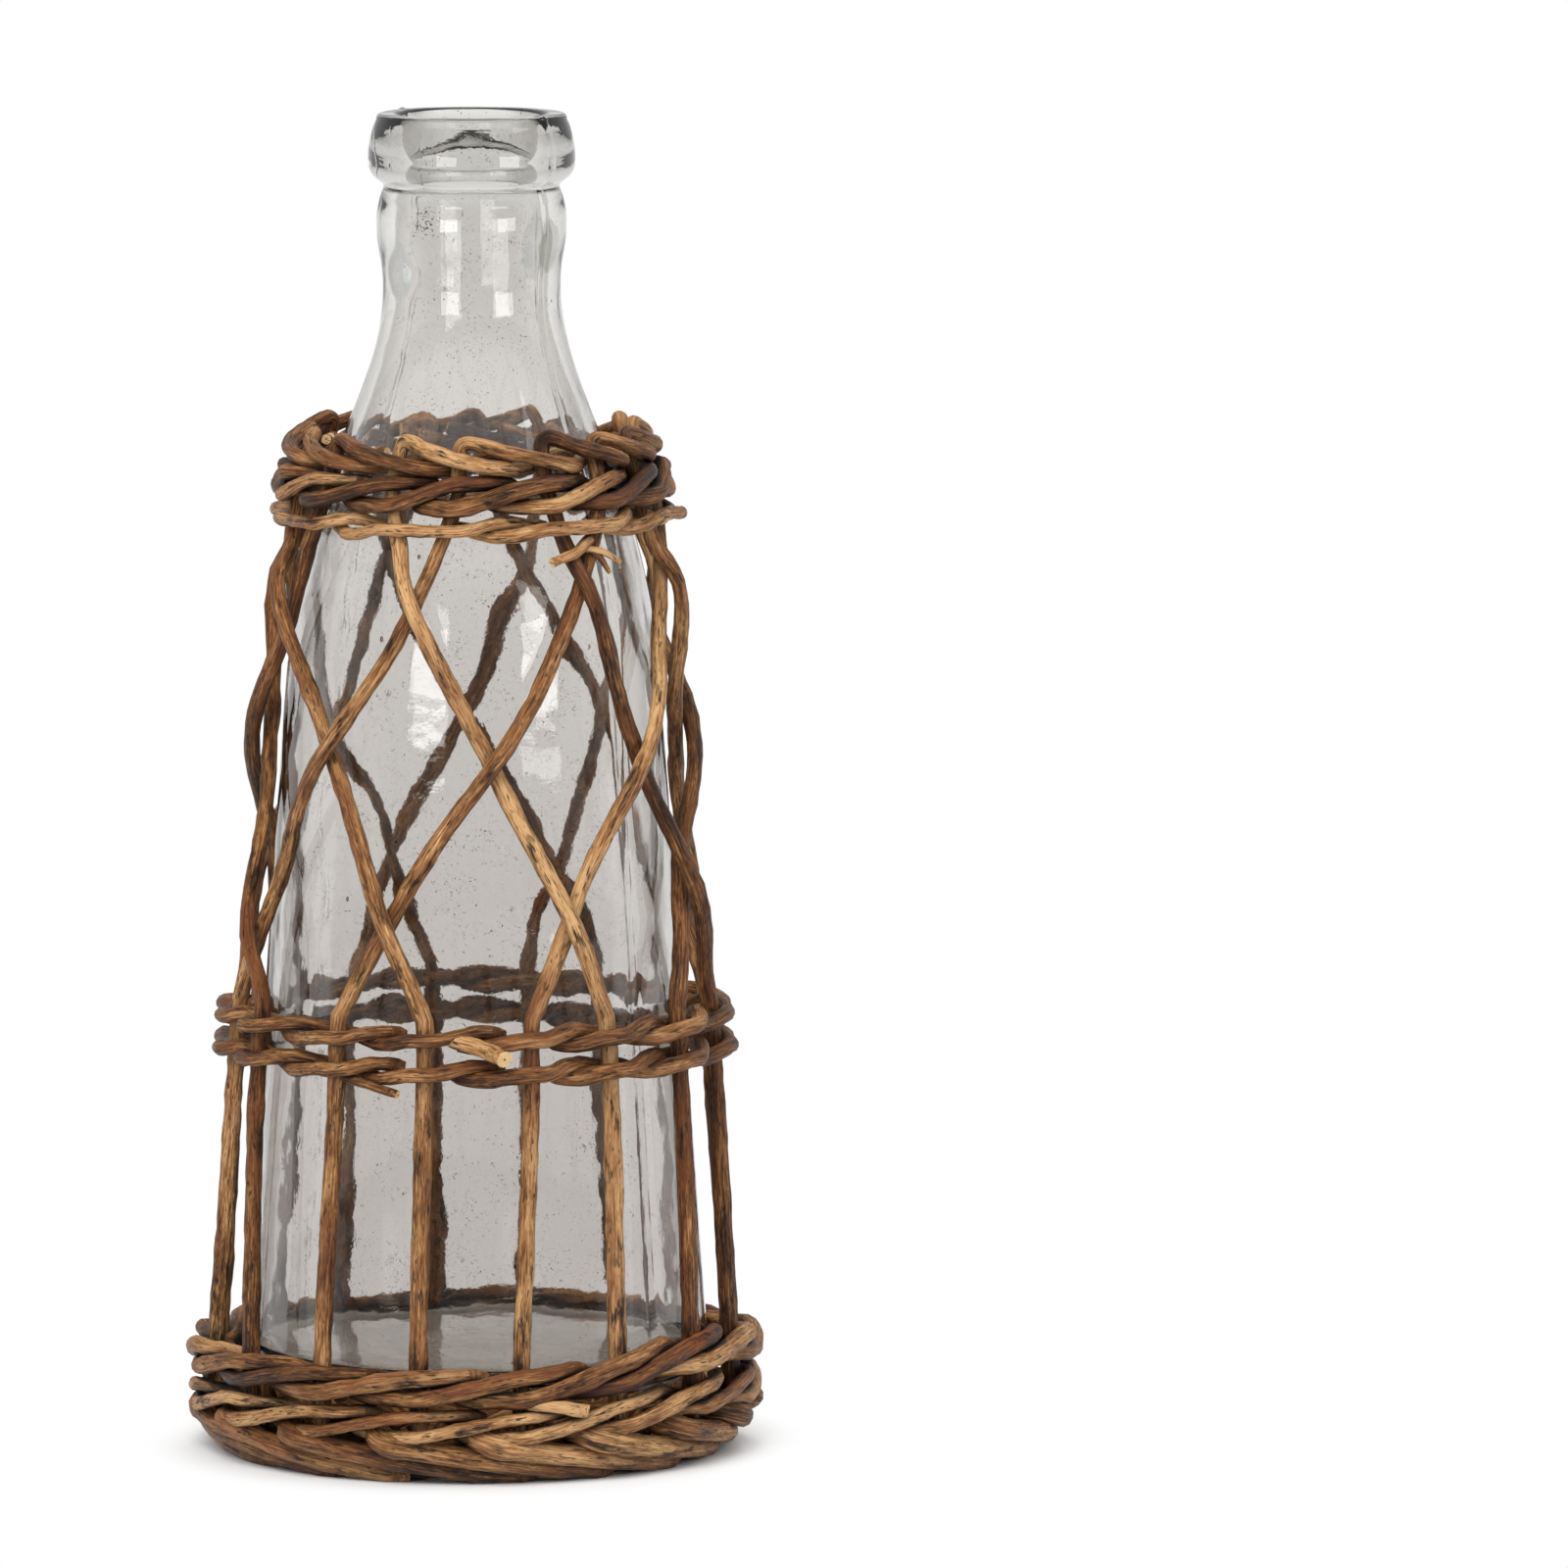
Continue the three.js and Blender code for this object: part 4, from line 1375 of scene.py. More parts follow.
@dataclass
class Stakes:
    """The sixteen upright rods: straight below, crossing in a lattice, and laid down as the border on top."""

    cage: CageForm
    butt: float = 4.9
    tip: float = 3.9
    step: float = 3.0
    lowest_arch: float = 0.85
    highest_arch: float = 1.1
    border_sink: float = 2.0
    top_overlap: float = 2.0
    tones: tuple[float, ...] = (
        0.05, 0.12, 0.15, -0.12, -0.09, -0.04, 0.02, -0.06,
        0.08, -0.02, 0.05, -0.08, 0.02, 0.04, -0.09, -0.02,
    )
    tone_spread: Ends = (-0.02, 0.02)
    butt_spread: Ends = (0.95, 1.06)
    tip_spread: Ends = (0.93, 1.07)
    grime: Ends = (0.0, 0.1)
    grime_to: float = 60.0
    grime_fade: float = 50.0

    def line(self, stake: int, arch: float) -> list[Vector]:
        """Centre line of a stake, from its foot in the wale to its tip in the border.

        Args:
            stake: Number of the stake, from 0.
            arch: Share of the border's height that its tip rises to.

        Returns:
            Points about three millimetres apart.
        """
        cage = self.cage
        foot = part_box(f"stake_{stake + 1}")[0][2] / MM
        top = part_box("top_wale_rod_1")[0][2] / MM + self.top_overlap
        count = round((top - foot) / self.step)
        points = []
        for k in range(count + 1):
            z = mix(foot, top, k / count)
            points.append(around(cage.angle(stake, z), cage.radius(z) + cage.lift(stake, z), z))
        return points + smooth([points[-1]] + self.border(cage.top_place(stake), arch), 4)[1:]

    def border(self, place: int, arch: float) -> list[Vector]:
        """Tip of a stake: it bends right, passes outside the next stake and ends inside the one after.

        Args:
            place: Place in the ring at the top.
            arch: Share of the border's height that it rises to.

        Returns:
            Points of the tip.
        """
        cage = self.cage
        over = cage.stake_d + cage.rod_gap
        low = cage.border_z - self.border_sink
        high = mix(low, cage.border_apex_z, arch)
        stops = (
            (0.0, 0.0, low - cage.stake_d),
            (0.0, 0.0, mix(low, high, 0.4)),
            (0.03, 0.05, mix(low, high, 0.9)),
            (0.15, 0.25, mix(low, high, 1.05)),
            (0.5, 0.75, mix(low, high, 0.78)),
            (1.0, 1.1, mix(low, high, 0.46)),
            (1.4, 0.75, mix(low, high, 0.2)),
            (1.72, -0.3, mix(low, high, 0.08)),
            (2.0, -1.05, mix(low, high, 0.2)),
            (2.35, -1.1, mix(low, high, 0.42)),
            (2.75, -0.95, mix(low, high, 0.62)),
        )
        return [
            around(cage.between(cage.top_angle, place + x, cage.lattice_to_z), cage.radius(z) + out * over, z)
            for x, out, z in stops
        ]

    def build(self, maker: RodMaker) -> None:
        """Models the stakes and sets them in the cage.

        Args:
            maker: Makes the rods.
        """
        clean_z = self.cage.bottle.foot_z + self.grime_to
        for stake in range(self.cage.stake_count):
            tone = self.tones[stake] + maker.chance.uniform(*self.tone_spread)
            dark = maker.chance.uniform(*self.grime)
            rod = Rod(
                name=f"stake_rod_{stake + 1}",
                line=self.line(stake, maker.chance.uniform(self.lowest_arch, self.highest_arch)),
                butt=self.butt * maker.chance.uniform(*self.butt_spread),
                tip=self.tip * maker.chance.uniform(*self.tip_spread),
                tone=tone,
                grime=lambda point, dark=dark: dark * ease((clean_z - point.z) / self.grime_fade),
                side_sway=1.0,
                out_sway=0.5,
                kink_every=45.0,
                clean=True,
            )
            maker.place(maker.make(rod), Slot.STAKES, f"stake_{stake + 1}")


@dataclass
class PairedRow:
    """A row of two rods that twist round each other between the stakes."""

    cage: CageForm
    node: str
    posts: int
    post: PostAngle
    rod_d: float
    level: float
    trim: float
    twist: float
    tone: float = 0.08
    tone_spread: Ends = (-0.06, 0.06)
    butt_share: float = 1.1
    tip_share: float = 0.92
    steps: int = 13

    def line(self, strand: int) -> list[Vector]:
        """Centre line of one of the two rods.

        Args:
            strand: 0 or 1.

        Returns:
            The points of the line.
        """
        cage = self.cage
        z = row_height(f"{self.node}_rod_{strand + 1}")
        reach = (cage.stake_d + self.rod_d) / 2.0 + 0.5 * cage.rod_gap
        first = 1.0 - strand + self.trim
        count = round((self.posts - 2.0 * self.trim) * self.steps)
        points = []
        for k in range(count + 1):
            x = first + (self.posts - 2.0 * self.trim) * k / count
            n = math.floor(x)
            turn = taut((x - n - self.level) / (1.0 - 2.0 * self.level))
            side = 1.0 if (n + strand) % 2 == 0 else -1.0
            out = side * reach * (1.0 - 2.0 * turn)
            height = z + side * self.twist * math.sin(math.pi * turn)
            points.append(around(cage.between(self.post, x, height), cage.radius(height) + out, height))
        return points

    def build(self, maker: RodMaker) -> None:
        """Models both rods and sets them in the cage.

        Args:
            maker: Makes the rods.
        """
        for strand in range(2):
            rod = Rod(
                name=f"{self.node}_weaver_{strand + 1}",
                line=self.line(strand),
                butt=self.rod_d * self.butt_share,
                tip=self.rod_d * self.tip_share,
                tone=self.tone + maker.chance.uniform(*self.tone_spread),
                side_sway=0.2,
                out_sway=0.3,
                rise_sway=0.35,
                clean=True,
            )
            maker.place(maker.make(rod), Slot.WEAVERS, f"{self.node}_rod_{strand + 1}")


@dataclass
class Wale:
    """A round of three rods: each goes inside one stake and outside the next two as it climbs."""

    cage: CageForm
    node: str
    post: PostAngle
    rod_d: float
    climb: float
    stoutness: tuple[float, float, float] = (1.0, 1.0, 1.0)
    hump_deg: float = 58.0
    hump_reach_deg: float = 50.0
    hump_mm: float = 0.0
    room: float = 1.2
    trim: float = 1.0 / 3.0
    tones: tuple[float, float, float] = (0.0, 0.06, -0.06)
    peel: Mark = nowhere
    butt_share: float = 1.1
    tip_share: float = 0.94
    steps: int = 11
    rods: int = 3

    def hump(self, degrees: float) -> float:
        """How much higher the round lies at an angle, where the weaver packed it loosely."""
        off = abs((degrees - self.hump_deg + 180.0) % 360.0 - 180.0)
        return self.hump_mm * ease(1.0 - off / self.hump_reach_deg)

    def line(self, strand: int) -> list[Vector]:
        """Centre line of one of the three rods.

        Args:
            strand: 0, 1 or 2.

        Returns:
            The points of the line.
        """
        cage = self.cage
        z = row_height(f"{self.node}_rod_{strand + 1}")
        reach = (cage.stake_d + self.rod_d) / 2.0 + self.room * cage.rod_gap
        rise = self.climb * self.rod_d
        last = cage.stake_count + (strand - cage.stake_count) % self.rods
        start, end = strand + self.trim, last - self.trim
        count = round((end - start) * self.steps)
        points = []
        for k in range(count + 1):
            x = mix(start, end, k / count)
            n = math.floor(x)
            v = x - n
            across = 1.0 - 2.0 * taut(v)
            out, up = (
                (-across, -ease(2.0 * v)),
                (1.0, 2.0 * taut(v) - 1.0),
                (across, 1.0 - ease(2.0 * v - 1.0)),
            )[(n - strand) % self.rods]
            height = z + up * rise
            degrees = cage.between(self.post, x, height)
            height += self.hump(degrees)
            points.append(around(degrees, cage.radius(height) + out * reach, height))
        return points

    def build(self, maker: RodMaker) -> None:
        """Models the three rods and sets them in the cage.

        Args:
            maker: Makes the rods.
        """
        for strand in range(self.rods):
            rod = Rod(
                name=f"{self.node}_weaver_{strand + 1}",
                line=self.line(strand),
                butt=self.rod_d * self.stoutness[strand] * self.butt_share,
                tip=self.rod_d * self.stoutness[strand] * self.tip_share,
                tone=self.tones[strand],
                peel=self.peel,
                side_sway=0.2,
                out_sway=0.5,
                rise_sway=0.4,
            )
            maker.place(maker.make(rod), Slot.WEAVERS, f"{self.node}_rod_{strand + 1}")


@dataclass
class FootBorder:
    """The border that the carafe stands on: thick rods that slope down to the right from under the wale.

    The lead is how far a rod's first points lie before its start, inside it and above it. Behind the rods run
    their tails, each with a radius and a height.
    """

    cage: CageForm
    butt: float = 6.5
    tip: float = 5.3
    thick_spread: Ends = (0.95, 1.05)
    tones: Ends = (-0.06, 0.16)
    grime: float = 0.04
    standout: float = 3.9
    sweep_deg: float = 50.0
    lead_deg: float = 6.0
    lead: tuple[tuple[float, float, float], ...] = ((5.0, 8.0, 2.0), (3.0, 3.4, 1.4))
    drop: float = 9.5
    droop: float = 1.3
    tuck: float = 9.0
    stations: int = 8
    uneven_deg: float = 5.0
    flat: float = 1.1
    node_d: float = 6.0
    tails: tuple[tuple[float, float], ...] = ((65.0, 3.4), (66.5, 8.6), (61.0, 7.4))
    tail_tone: float = -0.1
    tail_turn_deg: float = 47.0
    tail_step_deg: float = 4.0
    tail_points: int = 89

    def line(self, index: int, sweep: float) -> list[Vector]:
        """Centre line of a foot rod, from its bend under the wale to its tip at the ground.

        Args:
            index: Number of the rod, from 0.
            sweep: Angle that it goes round, in degrees.

        Returns:
            The points of the line.
        """
        cage = self.cage
        end_z = self.node_d / 2.0 - self.flat
        outer = cage.radius(cage.bottle.foot_z) + self.standout
        first = cage.first_stake_deg + index * cage.pitch - self.lead_deg
        points = [
            around(first - before, outer - inside, end_z + self.drop + above)
            for before, inside, above in self.lead
        ]
        for k in range(self.stations + 1):
            share = k / self.stations
            height = end_z + self.drop * (1.0 - share) ** self.droop
            points.append(around(first + share * sweep, outer - share * self.tuck, height))
        return smooth(points, 3)

    def build(self, maker: RodMaker) -> None:
        """Models the foot rods, worn flat where they stand, and sets them in the cage.

        Args:
            maker: Makes the rods.
        """
        for index in range(self.cage.stake_count):
            rod = Rod(
                name=f"foot_border_{index + 1}",
                line=self.line(index, self.sweep_deg + maker.chance.uniform(-1.0, 1.0) * self.uneven_deg),
                butt=self.butt * maker.chance.uniform(*self.thick_spread),
                tip=self.tip * maker.chance.uniform(*self.thick_spread),
                tone=maker.chance.uniform(*self.tones),
                grime=lambda point: self.grime,
                side_sway=0.5,
                out_sway=0.3,
                clean=True,
            )
            obj = maker.make(rod)
            for vertex in obj.data.vertices:
                vertex.co.z = max(vertex.co.z, 0.0)
            maker.place(obj, Slot.FOOT, f"foot_rod_{index + 1}")
        tails = []
        for n, (radius, z) in enumerate(self.tails):
            turns = [self.tail_turn_deg * n + k * self.tail_step_deg for k in range(self.tail_points)]
            tail = Rod(
                name=f"foot_tail_{n + 1}",
                line=[around(degrees, radius, z) for degrees in turns],
                butt=self.tip,
                tip=self.tip,
                tone=self.tail_tone,
            )
            tails.append(maker.make(tail))
        maker.place(join("foot_core", *tails), Slot.FOOT)


@dataclass
class WovenFloor:
    """The floor under the bottle: crossed sticks that fan out, with rounds of thin rods woven through them.

    The fan gives how far along and how far apart the sticks are between the crossing and their ends. The
    ties are the two innermost rounds, which bind the crossing.
    """

    cage: CageForm
    stick_d: float = 4.6
    stick_tip: float = 0.95
    stick_tones: Ends = (-0.1, 0.05)
    overrun: float = 0.4
    fan: tuple[tuple[float, float], ...] = ((0.3, 0.26), (0.6, 0.57))
    weaver_d: float = 3.4
    weaver_ends: Ends = (1.05, 0.95)
    weaver_tones: Ends = (-0.1, 0.12)
    weaver_gap: float = 0.2
    innermost: float = 27.0
    round_deg: float = 357.0
    round_turn_deg: float = 71.0
    step_deg: float = 3.0
    tie_radius: float = 16.0
    tie_apart: float = 4.4
    tie_bulge: float = 0.12
    tie_start_deg: float = 30.0
    tie_drop: float = 9.0
    tie_waves: int = 2

    def stick_line(self, group: int, k: int) -> list[Vector]:
        """Centre line of a base stick.

        Args:
            group: 0 for the sticks on top at the crossing, 1 for those below.
            k: Number of the stick in its group.

        Returns:
            The points of the line.
        """
        cage = self.cage
        per_group = cage.stake_count // 4
        lane = k - (per_group - 1) / 2.0
        end = cage.radius(cage.bottle.foot_z) - cage.stake_d / 2.0 - 2.0 * cage.rod_gap
        spacing = cage.stake_d + cage.rod_gap
        straight = (per_group / 2.0 + self.overrun) * spacing
        angle = math.radians(lane * cage.pitch)
        tip = (end * math.cos(angle), end * math.sin(angle))
        level = row_height("base_stick_1")
        middle = level if group == 0 else level - spacing
        half = [Vector((straight, lane * spacing, middle))]
        half += [
            Vector((mix(straight, tip[0], reach), mix(lane * spacing, tip[1], spread), level))
            for reach, spread in self.fan
        ]
        half.append(Vector((tip[0], tip[1], level)))
        mirrored = [Vector((-p.x, p.y, p.z)) for p in reversed(half)]
        line = smooth(mirrored + [Vector((0.0, lane * spacing, middle))] + half, 5)
        return line if group == 0 else [Vector((-p.y, p.x, p.z)) for p in line]

    def rounds(self) -> list[list[Vector]]:
        """Centre lines of the woven rounds.

        Returns:
            The rounds, each over one stick end and under the next, and then the two ties.
        """
        cage = self.cage
        low, high = (value[2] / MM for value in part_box("base_mat"))
        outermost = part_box("base_mat")[1][0] / MM - self.weaver_d / 2.0
        over = high - self.weaver_d / 2.0
        under = row_height("base_stick_1") - (self.stick_d + self.weaver_d) / 2.0
        count = round((outermost - self.innermost) / (self.weaver_d + self.weaver_gap))

        def woven(
            n: int, begin: float, zero: float, waves: int, radius: float, bulge: float, lowest: float
        ) -> list[Vector]:
            """Round that goes over and under in waves.

            Args:
                n: Its number; every other round goes the other way.
                begin: Angle that it starts at.
                zero: Angle that its waves are counted from.
                waves: How many there are in a turn.
                radius: Its radius, where it doesn't bulge.
                bulge: Share that it stands out by on top of a wave and at its foot.
                lowest: Height of its centre line at the foot of a wave.

            Returns:
                The points of the line.
            """
            line = []
            for k in range(int(self.round_deg / self.step_deg)):
                degrees = begin + k * self.step_deg
                swing = math.cos(math.radians((degrees - zero) * waves)) * (1.0 if n % 2 == 0 else -1.0)
                out = radius * (1.0 + bulge * abs(swing))
                line.append(around(degrees, out, mix(lowest, over, 0.5 + 0.5 * swing)))
            return line

        lines = []
        for n in range(count + 1):
            radius = mix(self.innermost, outermost, n / count)
            begin = self.round_turn_deg * n
            lines.append(woven(n, begin, cage.first_stake_deg, cage.stake_count // 2, radius, 0.0, under))
        for n in range(2):
            radius = self.tie_radius + n * self.tie_apart
            lowest = low - self.tie_drop
            lines.append(woven(n, self.tie_start_deg, 0.0, self.tie_waves, radius, self.tie_bulge, lowest))
        return lines

    def build(self, maker: RodMaker) -> None:
        """Models the sticks and the woven rounds and sets them in the cage.

        Args:
            maker: Makes the rods.
        """
        per_group = self.cage.stake_count // 4
        for index in range(2 * per_group):
            rod = Rod(
                name=f"floor_stick_{index + 1}",
                line=self.stick_line(index // per_group, index % per_group),
                butt=self.stick_d,
                tip=self.stick_d * self.stick_tip,
                tone=maker.chance.uniform(*self.stick_tones),
                side_sway=0.15,
                out_sway=0.1,
                rise_sway=0.1,
                clean=True,
            )
            maker.place(maker.make(rod), Slot.BASE, f"base_stick_{index + 1}")
        woven = []
        for n, line in enumerate(self.rounds()):
            rod = Rod(
                name=f"floor_round_{n + 1}",
                line=line,
                butt=self.weaver_d * self.weaver_ends[0],
                tip=self.weaver_d * self.weaver_ends[1],
                tone=maker.chance.uniform(*self.weaver_tones),
                side_sway=0.2,
                out_sway=0.15,
                rise_sway=0.2,
                clean=True,
            )
            woven.append(maker.make(rod))
        maker.place(join("woven_floor", *woven), Slot.BASE, "base_mat")


@dataclass
class LooseEnd:
    """A rod end that sticks out of the weave.

    Its places are each an angle, a distance outside the stakes' centre lines and a height.
    """

    name: str
    butt: float
    tip: float
    tone: float
    places: tuple[tuple[float, float, float], ...]


@dataclass
class LooseEnds:
    """Ends of weavers that show on the outside: two cut ends at the middle band, and split ends elsewhere."""

    cage: CageForm
    ends: tuple[LooseEnd, ...] = (
        LooseEnd(
            "mid_band_cut_end", 4.5, 4.5, 0.1, ((-4.0, 2.6, 119.0), (3.6, 4.4, 116.6), (7.4, 11.0, 114.8))
        ),
        LooseEnd(
            "mid_band_thin_end", 2.7, 2.2, -0.06,
            ((-30.0, 1.0, 107.8), (-22.5, 3.4, 106.2), (-15.5, 5.0, 104.4)),
        ),
        LooseEnd(
            "top_split_end_1", 3.2, 2.7, 0.16, ((38.0, 2.6, 249.5), (31.0, 4.6, 246.4), (23.5, 5.4, 244.2))
        ),
        LooseEnd(
            "top_split_end_2", 2.3, 1.5, 0.3, ((35.0, 3.0, 247.6), (41.0, 4.8, 246.0), (46.0, 5.6, 243.2))
        ),
        LooseEnd(
            "top_split_end_3", 2.0, 1.3, 0.1, ((37.0, 3.0, 247.6), (40.0, 4.2, 244.6), (42.5, 4.8, 240.6))
        ),
        LooseEnd(
            "top_side_end", 3.7, 3.4, 0.05, ((70.0, 2.0, 253.6), (80.0, 5.6, 253.4), (88.0, 7.4, 252.8))
        ),
        LooseEnd(
            "foot_split_end", 3.9, 3.5, 0.3, ((12.0, 4.6, 22.6), (18.0, 6.8, 21.6), (23.5, 9.2, 20.4))
        ),
    )

    def build(self, maker: RodMaker) -> None:
        """Models the ends and sets them in the cage.

        Args:
            maker: Makes the rods.
        """
        cage = self.cage
        for end in self.ends:
            stops = [around(angle, cage.radius(z) + out, z) for angle, out, z in end.places]
            rod = Rod(
                name=end.name, line=smooth(stops, 6), butt=end.butt, tip=end.tip, tone=end.tone,
                side_sway=0.0, out_sway=0.0, rise_sway=0.0, knot_every=90.0, rounded_ends=False,
            )
            maker.place(maker.make(rod), Slot.WEAVERS)


@dataclass
class Studio:
    """Pale floor, soft studio light and the camera, in metres and watts.

    A panel is a name, an angle, a distance, a height and a power.
    """

    floor_m: float = 40.0
    floor_white: str = "#F4F4F3"
    floor_roughness: float = 0.9
    near_m: float = 0.064
    far_m: float = 0.092
    fill: float = 0.12
    front_room: float = 0.13
    front_m: Ends = (-0.6, -0.15)
    over_room: float = 0.85
    over_ends: Ends = (0.25, 0.6)
    back_room: float = 0.7
    back_ends: Ends = (-0.35, 0.2)
    middle: tuple[float, float, float] = (0.0, 0.0, 0.2)
    lamp_away_m: float = 0.95
    lamp_z: float = 0.325
    lamp_width_m: float = 0.38
    lamp_height_m: float = 0.21
    lamp_w: float = 1.25
    lamps_deg: tuple[float, float] = (-26.0, 43.0)
    panel_m: float = 0.9
    panels: tuple[tuple[str, float, float, float, float], ...] = (
        ("key_panel", -20.0, 1.1, 1.15, 21.0),
        ("side_panel", 75.0, 1.0, 1.4, 6.0),
        ("back_panel", 165.0, 1.0, 1.4, 13.0),
    )
    mirrored_panel: str = "side_panel"
    under_at: tuple[float, float, float] = (0.0, 0.0, 0.0015)
    under_m: float = 0.09
    under_w: float = 0.02
    camera_at: tuple[float, float, float] = (0.0836, -3.765, 0.6312)
    aim: tuple[float, float, float] = (0.0836, 0.0, 0.1792)
    lens_mm: float = 323.7
    sensor_mm: float = 36.0
    clip_m: float = 100.0

    def white_rays(self, tree: bpy.types.NodeTree) -> Socket:
        """Finds the rays that see the background: straight on, in gloss and through glass.

        Args:
            tree: The node tree that takes the nodes.

        Returns:
            A socket that is 1 for those rays.
        """
        rays = add_node(tree, "LightPath")
        first = add_node(
            tree, "Math", {"operation": "ADD"},
            {0: rays.outputs["Is Camera Ray"], 1: rays.outputs["Is Glossy Ray"]},
        )
        both = add_node(
            tree, "Math", {"operation": "ADD", "use_clamp": True},
            {0: first.outputs[0], 1: rays.outputs["Is Transmission Ray"]},
        )
        return both.outputs[0]

    def build_floor(self) -> None:
        """Models the floor: white all round, with the carafe's shadow near it, and dim in front in gloss."""
        bpy.ops.object.select_all(action="DESELECT")
        bpy.ops.mesh.primitive_plane_add(size=self.floor_m)
        floor = bpy.context.object
        floor.name = "studio_floor"
        material = blank_material("matt_white_studio_paper")
        tree = material.node_tree
        place = add_node(tree, "TexCoord").outputs["Object"]
        away = add_node(tree, "VectorMath", {"operation": "LENGTH"}, {0: place})
        lift = add_node(
            tree, "MapRange", {"interpolation_type": "SMOOTHSTEP"},
            {"Value": away.outputs["Value"], "From Min": self.near_m, "From Max": self.far_m},
        )
        share = add_node(
            tree, "Math", {"operation": "MULTIPLY"}, {0: lift.outputs[0], 1: self.white_rays(tree)}
        )
        paper = add_node(
            tree, "BsdfPrincipled", None,
            {"Base Color": linear(self.floor_white), "Roughness": self.floor_roughness,
             "Specular IOR Level": 0.0},
        )
        front = add_node(
            tree, "MapRange", None,
            {"Value": add_node(tree, "SeparateXYZ", None, {"Vector": place}).outputs["Y"],
             "From Min": self.front_m[0], "From Max": self.front_m[1], "To Min": self.front_room},
        )
        rays = add_node(tree, "LightPath")
        strength = add_node(tree, "Mix", None, {0: rays.outputs["Glossy Depth"], 2: 1.0, 3: front.outputs[0]})
        white = add_node(tree, "Emission", None, {"Color": linear(WHITE), "Strength": strength.outputs[0]})
        lit = add_node(
            tree, "MixShader", None, {0: share.outputs[0], 1: paper.outputs[0], 2: white.outputs[0]}
        )
        side = add_node(tree, "NewGeometry")
        clear = add_node(tree, "BsdfTransparent")
        whole = add_node(
            tree, "MixShader", None, {0: side.outputs["Backfacing"], 1: lit.outputs[0], 2: clear.outputs[0]}
        )
        add_node(tree, "OutputMaterial", None, {"Surface": whole.outputs[0]})
        floor.data.materials.append(material)

    def light(self) -> None:
        """Sets the lamps and the world's light."""
        middle = Vector(self.middle)
        for n, degrees in enumerate(self.lamps_deg):
            spot = around(degrees, self.lamp_away_m, self.lamp_z)
            self.add_lamp(f"strip_{n + 1}", spot, middle, self.lamp_w, self.lamp_width_m, self.lamp_height_m)
        for name, degrees, away, height, power in self.panels:
            spot = around(degrees, away, height)
            panel = self.add_lamp(name, spot, middle, power, self.panel_m, self.panel_m)
            panel.visible_transmission = False
            panel.visible_glossy = name == self.mirrored_panel
        under = Vector(self.under_at)
        glow = self.add_lamp("under_foot", under, middle, self.under_w, self.under_m, self.under_m)
        glow.visible_glossy = glow.visible_transmission = False
        world = bpy.data.worlds.new("studio_world")
        bpy.context.scene.world = world
        world.use_nodes = True
        tree = world.node_tree
        tree.nodes.clear()
        way = add_node(tree, "SeparateXYZ", None, {"Vector": add_node(tree, "TexCoord").outputs["Generated"]})
        rays = add_node(tree, "LightPath")
        behind = add_node(
            tree, "MapRange", None,
            {"Value": rays.outputs["Is Reflection Ray"], "To Min": 1.0, "To Max": self.back_room},
        )
        before = add_node(
            tree, "MapRange", None,
            {"Value": way.outputs["Z"], "From Min": self.over_ends[0], "From Max": self.over_ends[1],
             "To Min": self.front_room, "To Max": self.over_room},
        )
        room = add_node(
            tree, "MapRange", None,
            {"Value": way.outputs["Y"], "From Min": self.back_ends[0], "From Max": self.back_ends[1],
             "To Min": before.outputs[0], "To Max": behind.outputs[0]},
        )
        seen = add_node(
            tree, "Mix", None, {0: rays.outputs["Glossy Depth"], 2: 1.0, 3: room.outputs[0]}
        )
        strength = add_node(
            tree, "MapRange", None,
            {"Value": self.white_rays(tree), "To Min": self.fill, "To Max": seen.outputs[0]},
        )
        sky = add_node(tree, "Background", None, {"Color": linear(WHITE), "Strength": strength.outputs[0]})
        add_node(tree, "OutputWorld", None, {"Surface": sky.outputs[0]})

    def add_lamp(
        self, name: str, spot: Vector, aim: Vector, power: float, width: float, height: float
    ) -> bpy.types.Object:
        """Adds a soft rectangular lamp.

        Args:
            name: The lamp's name.
            spot: Where it stands, in metres.
            aim: The point that it faces.
            power: Its power in watts.
            width: Its width in metres.
            height: Its height in metres.

        Returns:
            The lamp.
        """
        bpy.ops.object.light_add(type="AREA", location=spot)
        lamp = bpy.context.object
        lamp.name = name
        lamp.rotation_euler = (aim - spot).to_track_quat("-Z", "Y").to_euler()
        lamp.data.shape = "RECTANGLE"
        lamp.data.size = width
        lamp.data.size_y = height
        lamp.data.energy = power
        return lamp

    def set_camera(self) -> None:
        """Sets the camera at the photograph's viewing angle."""
        spot, aim = Vector(self.camera_at), Vector(self.aim)
        bpy.ops.object.camera_add(location=spot)
        camera = bpy.context.object
        camera.name = "camera"
        camera.rotation_euler = (aim - spot).to_track_quat("-Z", "Y").to_euler()
        camera.data.lens = self.lens_mm
        camera.data.sensor_width = self.sensor_mm
        camera.data.clip_end = self.clip_m
        bpy.context.scene.camera = camera
        bpy.context.scene.view_settings.view_transform = "Standard"


@dataclass(frozen=True)
class PeeledPatch:
    """A long patch on the right of the foot wale, where the bark has peeled off."""

    degrees: float = 51.0
    reach_deg: float = 13.0
    z: float = 35.0
    reach_z: float = 4.5
    most: float = 0.9

    def share(self, point: Vector) -> float:
        """Share of bare wood on a rod.

        Args:
            point: A point of the rod.

        Returns:
            The share there, from 0 to 1.
        """
        degrees = math.degrees(math.atan2(point.x, -point.y))
        height = ease(1.0 - abs(point.z - self.z) / self.reach_z)
        return self.most * ease(1.0 - abs(degrees - self.degrees) / self.reach_deg) * height


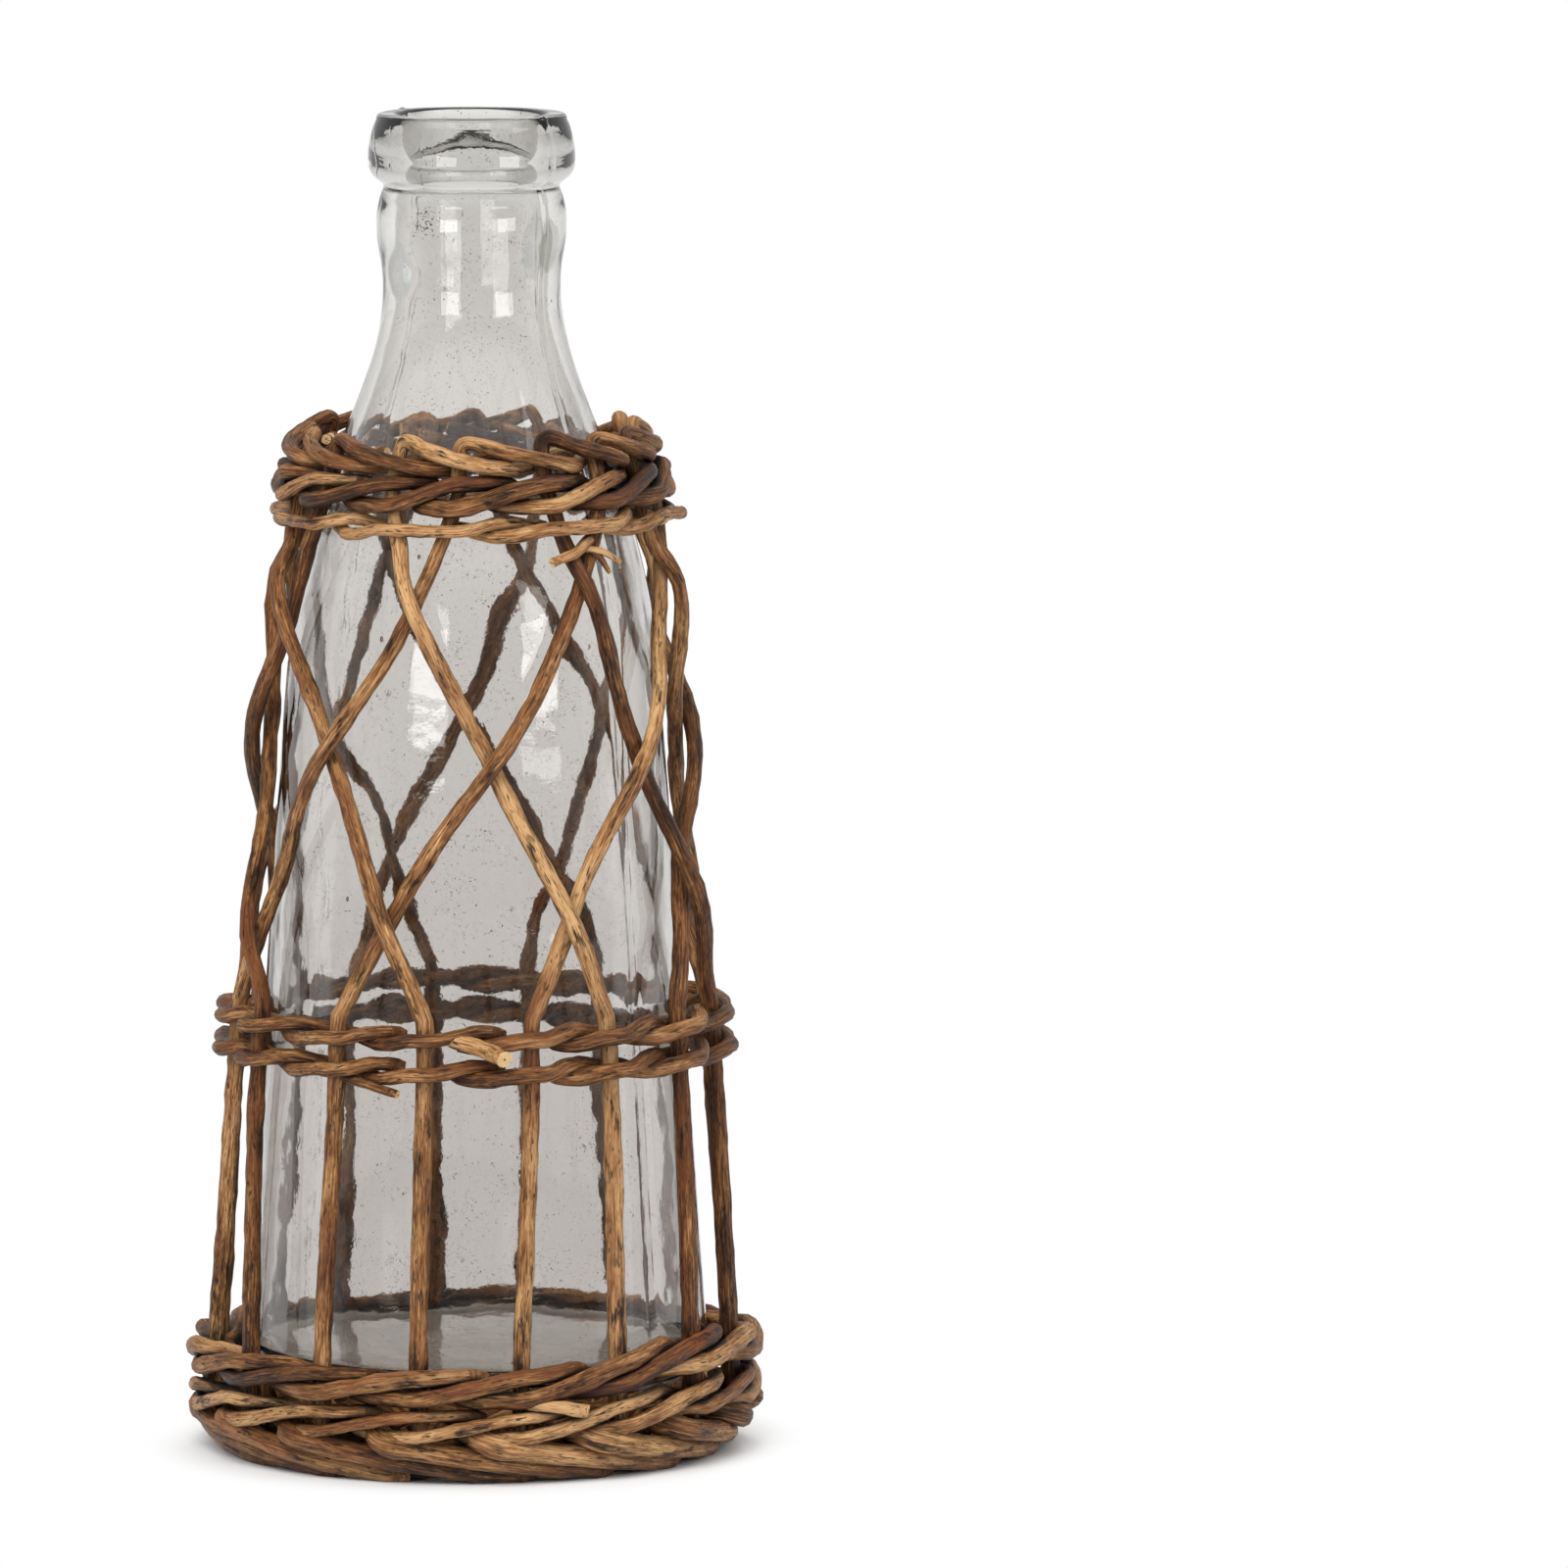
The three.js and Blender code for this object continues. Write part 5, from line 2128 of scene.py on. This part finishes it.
def main() -> None:
    """Builds the carafe piece by piece, then its studio."""
    logging.basicConfig(level=logging.INFO, format="%(name)s: %(message)s")
    studio = Studio()
    studio.set_camera()

    form = BottleForm.from_frame()
    # Pale, hazy glass for the inner floor: painted light standing in for light seen through the floor.
    lit_floor_glass = BottleGlass(
        name="pale_floor_glass_painted_light", cast="#CFCABA", low_cast="#CFCABA", transmission=0.35, roughness=0.03
    )
    bottle = GlassBottle(form, BottleGlass(), lit_floor_glass)
    glass = bottle.build()
    bottle.dress(glass)
    LOG.info("%s on %s", glass.name, Body.BOTTLE.value)

    cage = CageForm(form)
    maker = RodMaker(
        WillowBark("waxed_brown_willow").material(),
        # The same bark with less painted shade in its crevices.
        WillowBark("lightly_shaded_brown_willow", painted_shade_share=0.3).material(),
        CutWillow().material(),
        random.Random(SEED),
    )
    WovenFloor(cage).build(maker)
    FootBorder(cage).build(maker)
    Wale(
        cage, "foot_wale_1", cage.angle, rod_d=4.4, climb=0.62, stoutness=(0.84, 0.92, 0.8), hump_mm=3.0,
        tones=(0.18, 0.1, 0.04),
    ).build(maker)
    Wale(
        cage, "foot_wale_2", cage.angle, rod_d=4.4, climb=0.62, stoutness=(1.08, 1.02, 1.12), hump_mm=5.5,
        tones=(0.0, -0.14, 0.08), peel=PeeledPatch().share,
    ).build(maker)
    for row in ("mid_band_lower", "mid_band_upper"):
        PairedRow(
            cage, row, cage.stake_count, cage.angle, rod_d=4.1, level=0.1, trim=0.25, twist=1.8, tone=-0.05
        ).build(maker)
    PairedRow(
        cage, "top_fitch", cage.stake_count // 2, cage.pair_angle, rod_d=3.6, level=0.25, trim=1.0 / 6.0,
        twist=1.97, tone=0.16, steps=22,
    ).build(maker)
    Wale(
        cage, "top_wale", cage.top_angle, rod_d=4.1, climb=0.74, stoutness=(1.1, 0.98, 1.04),
        tones=(-0.06, 0.08, -0.14),
    ).build(maker)
    Stakes(cage).build(maker)
    LooseEnds(cage).build(maker)

    studio.build_floor()
    studio.light()


if __name__ == "__main__":
    main()
